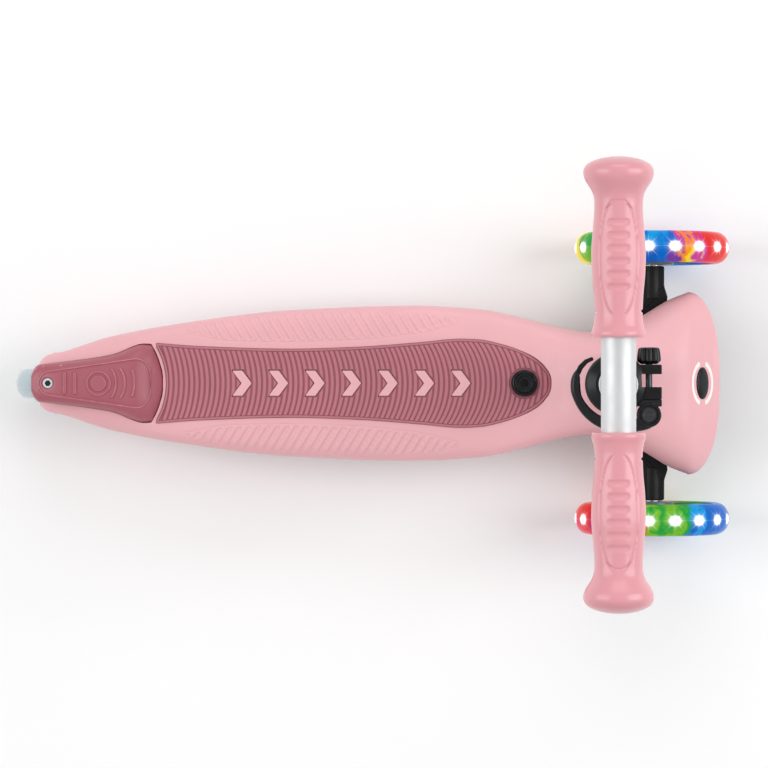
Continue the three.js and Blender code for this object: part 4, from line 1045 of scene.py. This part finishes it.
def rear_wheel():
    place = wheel_place(REAR_X, 0, REAR_R, 1)
    settle(tyre("rear_tread", REAR_R, REAR_HALF, REAR_BORE, place), "rear_wheel", "clear_tyre", "rear_tyre")
    profile = [(11.3, -12.4), (16, -12.4), (17, -8), (29, -10), (29, 10), (17, 8), (16, 12.4), (11.3, 12.4)]
    hub = turned("rear_core", rounded(profile, 0.5, closed=True), 128, place)
    hub = cut(hub, *spokes(place, 18.6, 27, [(6.4, 12), (-12, -6.4)], 5))
    settle(hub, "rear_wheel", "hub_plastic", "rear_hub", look="rear_hub")
    for where, low, high in (("left", 5.3, 12.3), ("right", -12.3, -5.3)):
        race = bearing(f"rear_race_{where}", low, high, place)
        settle(race, "rear_wheel", "steel", f"rear_bearing_{where}")
    spacer = turned("rear_distance_tube", ring_profile(AXLE_R + GAP, 6.5, -5, 5), 64, place)
    settle(spacer, "deck", "steel", "rear_spacer")
    profile = rounded([(0, -23.3), (6.8, -23.3), (6.8, -20.3), (AXLE_R, -20.3), (AXLE_R, 22.5), (0, 22.5)],
                      [0, 0.6, 0.2, 0, 0.5, 0])
    axle = cut(turned("rear_bolt", profile, 64, place), turned("socket", disc(2.8, -25, -21.3), 6, place))
    settle(axle, "deck", "steel", "rear_axle")
    dome = [(0, 18), (6.9, 18), (6.9, 22.8), (6.1, 23.7), (5.4, 24), (0, 24)]
    nut = common(turned("rear_nut", disc(6.8, 20.3, 24), 6, place), turned("dome", dome, 64, place))
    settle(cut(nut, turned("bore", disc(4.3, 19, 30), 48, place)), "deck", "steel", "rear_axle_nut")


# ---- nose, truck and steering ----

def nose_marks():
    """Two thin white bows let into the nose round the button."""
    for name, start in (("front", -73), ("rear", 107)):
        rings = []
        for angle in np.radians(np.linspace(start, start + 146, 61)):
            ring = []
            for share, lift in ((1, -0.5), (1, 0.14), (0.81, 0.14), (0.81, -0.5)):
                long, wide = (reach * share + 0.4 * (share - 1) for reach in (12.8, 17.6))
                at = BUTTON @ Vector((long * math.cos(angle), wide * math.sin(angle), 0))
                ring.append((at.x, at.y, deck_height(at.x, at.y) + lift))
            rings.append(ring)
        settle(loft(f"nose_bow_{name}", rings), "deck", "pink_plastic", look="white")


def button():
    dome = [(1, 0), (0.97, 0.25), (0.9, 0.45), (0.84, 0.5), (0.8, 0.78), (0.7, 0.92), (0.5, 1), (0, 1)]
    profile = [(0, -BUTTON_INSIDE), (1, -BUTTON_INSIDE)] + [(r, share * BUTTON_PROUD) for r, share in dome]
    foot = BUTTON @ Vector((0, 0, -BUTTON_INSIDE - 9))
    cap = turned("button_cap", profile, 96, button_place())
    cap = join(cap, bar("stem", 3.5, foot, (BUTTON_X, 0, BUTTON_Z)))
    settle(cap, "lock", "charcoal_plastic", "lock_button")


def column_collar():
    profile = rounded([(17.8, 2), (21.6, 2), (21.8, 19), (21, 22), (20.2, 22.5), (19.9, 21.8), (19.1, 21.8),
                       (18.8, 23), (17.8, 23)], 0.3, closed=True)
    collar = cut(turned("column_collar", profile, 128, COLUMN), deck_hull("deck", GAP, False))
    settle(collar, "deck", "black_plastic", "column_ring")


def tub(shrink, low, high, front):
    """Block that follows the nose's outline at a distance."""
    along = [*np.linspace(200, front - 6, 20), *np.linspace(front - 5, front, 6)]
    return loft("truck_tub", [section(x, deck_half(x) - shrink, high, 60, low, 20, 20) for x in along])


def cover():
    """Black tub under the nose that carries the lower ends of the kingpins."""
    shell = tub(9, COVER_UNDER - 2, 76, COVER_FRONT)
    inner = common(tub(12.5, COVER_UNDER - 6, 120, COVER_FRONT - 4),
                   box("keep", 180, 270, -80, 80, COVER_FLOOR, 90))
    shell = cut(shell, inner, box("open", 195, 252, -80, 80, COVER_FLOOR, 90))
    for side in (-1, 1):
        shell = join(shell, king_bar("boss", 7, side, -KING_HALF - GAP, -25, 64))
        shell = cut(shell, king_bar("pin", KING_PIN + GAP, side, -10, -40),
                    upright("screw", SCREW_HOLE, POST_X, side * POST_Y, 30, 60),
                    upright("post", POST_R + GAP, POST_X, side * POST_Y, 46, 90))
    shell = cut(shell, box("under", 180, 290, -80, 80, 20, COVER_UNDER))
    for y in range(-30, 31, 12):
        groove = box("groove", 208, 240, y - 2.2, y + 2.2, COVER_UNDER - 1, COVER_UNDER + 1, corner=2)
        shell = cut(shell, groove)
    # The cover takes the darker copy of the black plastic, as painted shade.
    settle(shell, "deck", "black_plastic", "truck_cover", look="shaded_black")


def kingpin(name, side):
    shaft = king_bar(f"king_bolt_{name}", KING_PIN, side, -29, KING_HALF + 14, edge=0.4)
    shaft = join(shaft, king_bar("head", 7, side, -33, -27.9, 6))
    settle(shaft, "deck", "steel", f"kingpin_{name}")
    ripple = [(KING_PIN + GAP, GAP), (8.3, GAP), (8.8, 1.2), (8, 2.9), (8.8, 4.7), (8.3, 5.6),
              (KING_PIN + GAP, 5.6)]
    profile = rounded([(r, KING_HALF + height) for r, height in ripple], 0.3, closed=True)
    settle(turned(f"centring_block_{name}", profile, 64, king_frame(side)), "deck", "bush_rubber",
           f"centring_bush_{name}")
    low = COVER_UNDER - 2.8
    screw = join(upright(f"tub_screw_{name}", SCREW_R, POST_X, side * POST_Y, low + 0.8, 58),
                 upright("head", 4, POST_X, side * POST_Y, low, COVER_UNDER - GAP, 64, 0.5))
    for turn in (0, math.pi / 2):
        slot = Matrix.Translation((POST_X, side * POST_Y, 0)) @ Matrix.Rotation(turn, 4, "Z")
        screw = cut(screw, box("cross", -2.4, 2.4, -0.45, 0.45, low - 1, low + 1.2, slot))
    settle(screw, "deck", "steel", f"cover_screw_{name}")


def tie_place(side):
    """Matrix at the end of a steering arm's lever, whose Z runs up the tie rod's pin."""
    return king_frame(side) @ Matrix.Translation((TIE_REACH, 0, 0))


def arm(name, side):
    """Steering arm: knuckle, gusset web, axle boss and the lever for the tie rod."""
    outline = [(206, 34), (206, 48), (209, 58), (211, 70), (211, 91.7), (229.4, 91.7), (229.4, 76), (232, 68),
               (231, 58), (226, 46), (224, 34)]
    ridge = [(212, 60), (229.5, 77), (229.5, 74), (214.5, 59)]
    web, ridge = (rounded([(x, side * y) for x, y in points], corner, closed=True)
                  for points, corner in ((outline, 1.5), (ridge, 0.5)))
    lever_arm = box("blade", 0, TIE_REACH, -5.5, 5.5, TIE_LOW, TIE_HIGH, king_frame(side), edge=0.5)
    body = join(slab(f"stub_arm_{name}", web, ARM_LOW, ARM_HIGH, edge=1.2),
                turned("knuckle", disc(KNUCKLE, -KING_HALF, KING_HALF, 0.8), 64, king_frame(side)),
                across_deck("boss", ARM_BOSS, FRONT_X, FRONT_R, side * ARM_BOSS_FROM,
                            side * (FRONT_Y - ARM_FACE), 80, 0.8),
                lever_arm, turned("eye", disc(TIE_EYE, TIE_LOW, TIE_HIGH, 0.4), 64, tie_place(side)),
                slab("ridge", ridge, 60, ARM_HIGH + 0.7, edge=0.4))
    body = cut(body, king_bar("clear", 9.6, side, -30, -KING_HALF),
               king_bar("bush", KING_BUSH + GAP, side, -20, 20),
               across_deck("axle", AXLE_R + GAP, FRONT_X, FRONT_R, side * (ARM_BOSS_FROM + 1.5), side * 95),
               king_bar("tie", TIE_PIN + GAP, side, 0, 20, ahead=TIE_REACH))
    # The arm takes the darker copy of the black plastic, as painted shade.
    settle(body, f"arm_{name}", "black_plastic", f"steering_arm_{name}", look="shaded_black")
    profile = ring_profile(KING_PIN + GAP, KING_BUSH, -KING_HALF, KING_HALF, 0.3)
    settle(turned(f"king_sleeve_{name}", profile, 64, king_frame(side)), f"arm_{name}", "hub_plastic",
           f"kingpin_bush_{name}", look="white")
    top = TIE_HIGH + TIE_THICK + 2 * GAP
    profile = rounded([(0, TIE_LOW), (TIE_PIN, TIE_LOW), (TIE_PIN, top), (4.8, top), (4.8, top + 1.6),
                       (3.6, top + 2.5), (0, top + 2.5)], [0, 0.3, 0, 0.2, 0.4, 0.5, 0])
    settle(turned(f"tie_rivet_{name}", profile, 64, tie_place(side)), f"arm_{name}", "steel",
           f"tie_pin_{name}")


def tie_rod():
    low, high = TIE_HIGH + GAP, TIE_HIGH + GAP + TIE_THICK
    rod = box("tie_bar", TIE_REACH - 4, TIE_REACH + 4, -KING_Y, KING_Y, low, high, king_frame(0), edge=0.5)
    for side in (-1, 1):
        rod = join(rod, turned("eye", disc(TIE_EYE, low, high, 0.4), 64, tie_place(side)))
        rod = cut(rod, turned("hole", disc(TIE_PIN + GAP, low - 2, high + 2), 48, tie_place(side)))
    settle(rod, "tie", "steel", "tie_rod", look="dark_steel")


# ---- column, clamp and handlebar, built about the column's own axis ----

def column():
    lower = turned("column_lower", ring_profile(TUBE_IN, TUBE_OUT, TUBE_FOOT, TUBE_TOP, 0.3), 128, COLUMN)
    settle(lower, "deck", "silver_tube", "column_tube")
    profile = ring_profile(STEM_OUT + GAP, TUBE_IN - GAP, 250, TUBE_TOP - GAP, 0.2)
    settle(turned("guide_sleeve", profile, 96, COLUMN), "deck", "black_plastic", "shim_sleeve")
    stem = turned("stem_post", ring_profile(STEM_IN, STEM_OUT, STEM_FOOT, BAR_HEIGHT, 0.2), 128, COLUMN)
    stem = cut(stem, across_column("saddle", BAR_OUT + 0.05, 0, BAR_HEIGHT, -60, 60, 96))
    settle(stem, "handlebar", "silver_tube", "stem_tube")
    profile = rounded([(0, 106), (15.2, 106), (15.2, STEM_FOOT - GAP), (STEM_IN - GAP, STEM_FOOT - GAP),
                       (STEM_IN - GAP, 134), (0, 134)], 0.5)
    settle(turned("stem_end_plug", profile, 64, COLUMN), "handlebar", "black_plastic", "stem_plug")
    tube = across_column("cross_tube", BAR_OUT, 0, BAR_HEIGHT, -BAR_HALF, BAR_HALF, 128)
    tube = cut(tube, across_column("bore", BAR_IN, 0, BAR_HEIGHT, -150, 150, 96))
    settle(tube, "handlebar", "silver_tube", "handlebar_tube", look="crossbar")
    weld()


def weld():
    """Rippled bead where the stem meets the crossbar."""
    count, sides, reach = 180, 12, STEM_OUT - 0.4
    corners = []
    for around in (2 * math.pi * i / count for i in range(count)):
        along_x, along_y = math.cos(around), math.sin(around)
        drop = math.sqrt(max((BAR_OUT + 0.2) ** 2 - min(abs(reach * along_x), BAR_OUT) ** 2, 0))
        size = 0.65 + 0.08 * math.sin(30 * around)
        for angle in np.linspace(0, 2 * math.pi, sides, endpoint=False):
            out, height = reach + size * math.cos(angle), BAR_HEIGHT - drop + size * math.sin(angle)
            corners.append(column_at(out * along_x, out * along_y, height))
    faces = []
    for j in range(count):
        for i in range(sides):
            here, there = j * sides, (j + 1) % count * sides
            faces.append([here + i, here + (i + 1) % sides, there + (i + 1) % sides, there + i])
    settle(add_mesh("weld_bead", corners, faces), "handlebar", "silver_tube")


GRIP_BODY = [(5.2, 0.3), (8.4, 0.75), (11.6, 1.4), (14.8, 2.4), (17.6, 3.7), (19.7, 5), (21.2, 6.8),
             (22, 8.8), (22.1, 10.2), (21.7, 13), (20.4, 16), (18.6, 18.8), (17, 21.4), (15.8, 24.6),
             (15.2, 29), (15.3, 35), (16.2, 47), (17.1, 60), (16.6, 74), (15.4, 88), (15, 99), (15.8, 106),
             (17.1, 111), (16.9, 112.5), (16.2, 113.2)]
RIB_FIRST, RIB_STEP, RIB_NUMBER = 41.5, 8.1, 6


def grip_relief(along, arc, around):
    """Finger ribs, a long contour and an arch on the upper and lower faces, and a nick at each side."""
    relief = np.zeros_like(arc)
    for i in range(RIB_NUMBER):
        at = RIB_FIRST + i * RIB_STEP
        reach = np.hypot(along - at, np.maximum(np.abs(arc) - 5.2, 0))
        relief -= 0.8 * step(reach - 1.6, 2.2)
    span = np.clip((along - 27) / (100 - 27), 0, 1)
    leaf = 13.6 * np.sin(math.pi * span) ** 0.42
    relief -= 0.55 * step(np.abs(np.abs(arc) - leaf) - 0.6, 0.9) * step(27.5 - along, 1) * step(along - 99, 1)
    arch = 28.4 + arc ** 2 / 15
    relief -= 0.5 * step(np.abs(along - arch) - 0.6, 1.0) * step(np.abs(arc) - 9.6, 1)
    side_angle = np.abs(np.abs(around) - math.pi / 2)
    relief -= 1.0 * step(np.abs(along - 96.8) - 0.7, 1.0) * step((side_angle - 0.42) * 16, 2)
    return relief


def grip(name, side):
    """Soft grip with a bulbous end, from its outer end inwards."""
    outline, sides = smooth([(s, r) for r, s in GRIP_BODY]), 144
    angles = np.linspace(-math.pi, math.pi, sides, endpoint=False)
    folded = (angles + math.pi / 2) % math.pi - math.pi / 2
    stations = [(s, outline(s)) for s in (*np.linspace(GRIP_BODY[0][1], 6, 20),
                                          *np.linspace(6.4, GRIP_LENGTH, 206))]
    rows = [(0.01, np.full(sides, 1.0)), (0.12, np.full(sides, 2.8))]
    rows += [(s, r + grip_relief(np.full(sides, s), r * folded, angles)) for s, r in stations]
    turn = Matrix(((0, 1, 0, 0), (0, 0, -side, 0), (1, 0, 0, 0), (0, 0, 0, 1)))
    place = COLUMN @ Matrix.Translation((0, side * GRIP_END, BAR_HEIGHT)) @ turn
    rings = [[tuple(place @ Vector((r * math.cos(a), r * math.sin(a), s))) for r, a in zip(radii, angles)]
             for s, radii in rows]
    skin = cut(loft(f"soft_grip_{name}", rings), turned("bore", disc(BAR_OUT + GAP, 4.6, 120), 96, place))
    settle(skin, "handlebar", "grip_rubber", f"grip_{name}")


def clamp():
    low, high = CLAMP_HEIGHT - CLAMP_HALF, CLAMP_HEIGHT + CLAMP_HALF
    tube, stem = TUBE_OUT + GAP, STEM_OUT + GAP
    profile = [(tube, low), (20.5, low), (CLAMP_R, low + 1), (CLAMP_R, high - 5), (20, high - 3), (14, high),
               (stem, high), (stem, TUBE_TOP + GAP), (tube, TUBE_TOP + GAP)]
    profile = rounded(profile, [0.2, 0.3, 0.3, 0.9, 0.9, 0.8, 0.3, 0, 0], closed=True)
    collar = turned("clamp_band", profile, 144, COLUMN)
    for start, end in ((6, 13.6), (SADDLE_TOP + 0.05, -1)):
        ear = box("ear", 13, SADDLE_FRONT, start, end, CLAMP_HEIGHT - 9, CLAMP_HEIGHT + 9, COLUMN, 1.1, 0.9)
        collar = join(collar, cut(ear, bar("tube", tube, column_at(0, 0, 0), column_at(0, 0, 400), 96)))
    collar = cut(collar, box("slit", 10, 40, *SLIT, low - 1, TUBE_TOP + GAP, COLUMN),
                 box("lid_slit", tube, 40, *SLIT, TUBE_TOP, high + 1, COLUMN),
                 across_column("rod", ROD_R + GAP, ROD_X, CLAMP_HEIGHT, -30, 30))
    settle(collar, "deck", "black_plastic", "clamp_collar")
    rod = across_column("clamp_bolt", ROD_R, ROD_X, CLAMP_HEIGHT, -16.9, 24, edge=0.3)
    settle(rod, "deck", "steel", "clamp_rod", look="dark_steel")
    cam_pin()
    saddle()


def cam_place():
    return COLUMN @ Matrix.Translation((CAM_X, CAM_Y, CLAMP_HEIGHT))


def cam_pin():
    end, cap, under = CAM_HALF + 1.5, CAM_PIN + 0.4, CAM_HALF + GAP
    profile = [(0, -end), (cap, -end), (cap, -under), (CAM_PIN, -under), (CAM_PIN, under), (cap, under),
               (cap, end), (3.8, end), (3.6, end - 0.4), (3, end - 0.4), (2.8, end), (2.2, end),
               (2, end - 0.6), (1.3, end - 0.6), (1.1, end - 0.2), (0, end - 0.2)]
    pin = turned("lever_pin", rounded(profile, 0.15), 64, cam_place())
    settle(pin, "deck", "charcoal_plastic", "cam_pin", look="pin")


def saddle():
    """Plate between the lever's cam and the collar."""
    low, high = CLAMP_HEIGHT - CAM_HALF, CLAMP_HEIGHT + CAM_HALF
    ends = [(column_at(x, y, low - 1), column_at(x, y, high + 1)) for x, y in ((CAM_X, CAM_Y), (0, 0))]
    plate = box("pressure_plate", SADDLE_BACK, SADDLE_FRONT, SADDLE_LOW, SADDLE_TOP, low, high, COLUMN,
                corner=0.4, edge=0.3)
    plate = cut(plate, across_column("rod", ROD_R + GAP, ROD_X, CLAMP_HEIGHT, -30, 0),
                bar("cam", CAM_HEAD + 0.06, *ends[0], 96), bar("band", CLAMP_R + 0.05, *ends[1], 128))
    settle(plate, "deck", "charcoal_plastic", "clamp_saddle")


def spline(points, steps):
    """Smooth open curve through a few points."""
    points = [np.array(p, float) for p in points]
    points = [2 * points[0] - points[1]] + points + [2 * points[-1] - points[-2]]
    result = []
    for a, b, c, d in zip(points, points[1:], points[2:], points[3:]):
        for t in np.linspace(0, 1, steps, endpoint=False):
            result.append(0.5 * (2 * b + (c - a) * t + (2 * a - 5 * b + 4 * c - d) * t * t
                                 + (3 * b - a - 3 * c + d) * t ** 3))
    return [tuple(p) for p in result] + [tuple(points[-2])]


def evenly(points, count):
    """The same curve through this many evenly spaced points."""
    points = np.array(points)
    gone = np.concatenate([[0], np.cumsum(np.linalg.norm(np.diff(points, axis=0), axis=1))])
    where = np.linspace(0, gone[-1], count)
    return np.stack([np.interp(where, gone, points[:, i]) for i in (0, 1)], 1)


def lever():
    outer = spline([(28, -27.2), (23.6, -31), (14, -33.2), (0, -33), (-13, -29.6), (-24, -20.5), (-30.6, -8),
                    (-31.5, 1), (-30.2, 6.2), (-27.9, 9.6)], 8)
    inner = spline([(19, -21), (14, -24), (2, -24.6), (-9, -22.6), (-17, -17.6), (-23.4, -9), (-24.8, 0),
                    (-25, 5), (-26, 9)], 8)
    low, high = CLAMP_HEIGHT - CAM_HALF + 0.6, CLAMP_HEIGHT + CAM_HALF - 0.6
    rings = []
    for near, far in zip(evenly(inner, 90), evenly(outer, 90)):
        wide = np.linalg.norm(far - near)
        shape = rounded([(0, low), (wide, low), (wide, high), (0, high)], [1.2, 2.2, 3, 1.6], closed=True,
                        steps=6)
        rings.append([tuple(column_at(*(near + (far - near) * across / wide), z)) for across, z in shape])
    profile = rounded([(0, -CAM_HALF), (CAM_HEAD, -CAM_HALF), (CAM_HEAD, CAM_HALF), (6.6, CAM_HALF),
                       (6.2, CAM_HALF - 0.7), (0, CAM_HALF - 0.7)], [0, 1.3, 1.3, 0.2, 0.2, 0])
    tip = rounded([(-29, 7), (-26, 13), (-21.6, 17.2), (-16.2, 19.2), (-15.4, 16.8), (-19.6, 14.6),
                   (-23, 10.8), (-25, 6.4)], 0.8, closed=True)
    blade = join(loft("quick_lever", rings), turned("head", profile, 96, cam_place()),
                 slab("tip", tip, low, low + 5, COLUMN, edge=0.6))
    fork = [(17, -12), (38, -12), (38, -40), (27, -36), (CAM_X + 0.5, CAM_Y - 5.4), (18, -20)]
    blade = cut(blade, slab("fork", fork, CLAMP_HEIGHT - CAM_FORK, CLAMP_HEIGHT + CAM_FORK, COLUMN),
                turned("pin", disc(CAM_PIN + GAP, -12, 12), 64, cam_place()))
    settle(blade, "lever", "charcoal_plastic", "clamp_lever")


def nut():
    stations = [(13.92, 5.3), (14.5, 5.9), (15, 6.35), (15.5, 6.9), (16, 7.4), (16.5, 7.6), (18, 7.6),
                (21, 7.3), (23.8, 6.9), (24.8, 6.6), (25.3, 6), (25.6, 5)]
    rings = []
    for y, radius in stations:
        ring = []
        for angle in np.linspace(0, 2 * math.pi, 160, endpoint=False):
            lobe = 0.75 * (abs(math.cos(NUT_LOBES * angle / 2)) ** 0.5 * 2 - 1)
            r = radius + lobe * min(1, (radius - 4) / 3)
            ring.append(tuple(column_at(ROD_X + r * math.cos(angle), y, CLAMP_HEIGHT + r * math.sin(angle))))
        rings.append(ring)
    knob = cut(loft("lobed_nut", rings), across_column("bore", ROD_R + GAP, ROD_X, CLAMP_HEIGHT, 10, 24.4))
    settle(knob, "nut", "black_plastic", "thumb_nut")


def hinge_pin():
    pin = across_deck("brake_pivot", HINGE_PIN, HINGE_X, HINGE_Z, -PIN_HALF, PIN_HALF, 64, 0.4)
    settle(pin, "deck", "steel", "brake_hinge_pin")


# ---- studio ----

CAMERA_X, CAMERA_Y, CAMERA_HEIGHT, CAMERA_LENS, CAMERA_SHIFT = 0.0098, 0.0054, 3.093, 181, -0.01
FLOOR_DROP, FLOOR_REACH = 0.4, 9000


def area_light(name, at, target, wide, long, power):
    light = bpy.data.lights.new(name, "AREA")
    light.shape = "RECTANGLE"
    light.size, light.size_y = wide, long
    light.energy = power
    obj = placed(name, light)
    obj.location = at
    obj.rotation_euler = (Vector(target) - Vector(at)).to_track_quat("-Z", "Y").to_euler()


def studio():
    scene = bpy.context.scene
    camera = bpy.data.cameras.new("camera")
    camera.lens, camera.sensor_width = CAMERA_LENS, 36
    camera.shift_y = CAMERA_SHIFT
    camera.clip_end = 50
    scene.camera = placed("camera", camera)
    scene.camera.location = (CAMERA_X, CAMERA_Y, CAMERA_HEIGHT)
    corners = [(x, y, -FLOOR_DROP) for x, y in ((-1, -1), (1, -1), (1, 1), (-1, 1))]
    floor = add_mesh("floor", np.array(corners) * (FLOOR_REACH, FLOOR_REACH, 1), [[0, 1, 2, 3]])
    paper = finish_of("floor_paper", (0.97, 0.97, 0.97), rough=0.8, mottle=0.004, edge_wear_and_highlight=0)
    floor.data.materials.append(paper.material)
    scene.world = bpy.data.worlds.new("studio")
    scene.world.use_nodes = True
    background = scene.world.node_tree.nodes["Background"]
    background.inputs["Color"].default_value = (1, 1, 1, 1)
    background.inputs["Strength"].default_value = 0.56
    area_light("right_softbox", (2.6, 0.3, 2.4), (0.1, 0, 0.2), 1.6, 2.6, 48)
    area_light("left_softbox", (-2.6, 0.2, 2.4), (0, 0, 0.2), 1.6, 2.6, 39)
    area_light("back_softbox", (0.2, 2.8, 2.2), (0, 0, 0.2), 2.4, 1.4, 17)
    scene.view_settings.view_transform = "Standard"
    scene.view_settings.look = "None"


def main():
    studio()
    deck()
    mat()
    plug()
    hinge_pin()
    brake()
    rear_wheel()
    nose_marks()
    button()
    column_collar()
    cover()
    tie_rod()
    for name, side in SIDES.items():
        front_wheel(name, side)
        kingpin(name, side)
        arm(name, side)
        grip(name, side)
    column()
    clamp()
    lever()
    nut()


main()
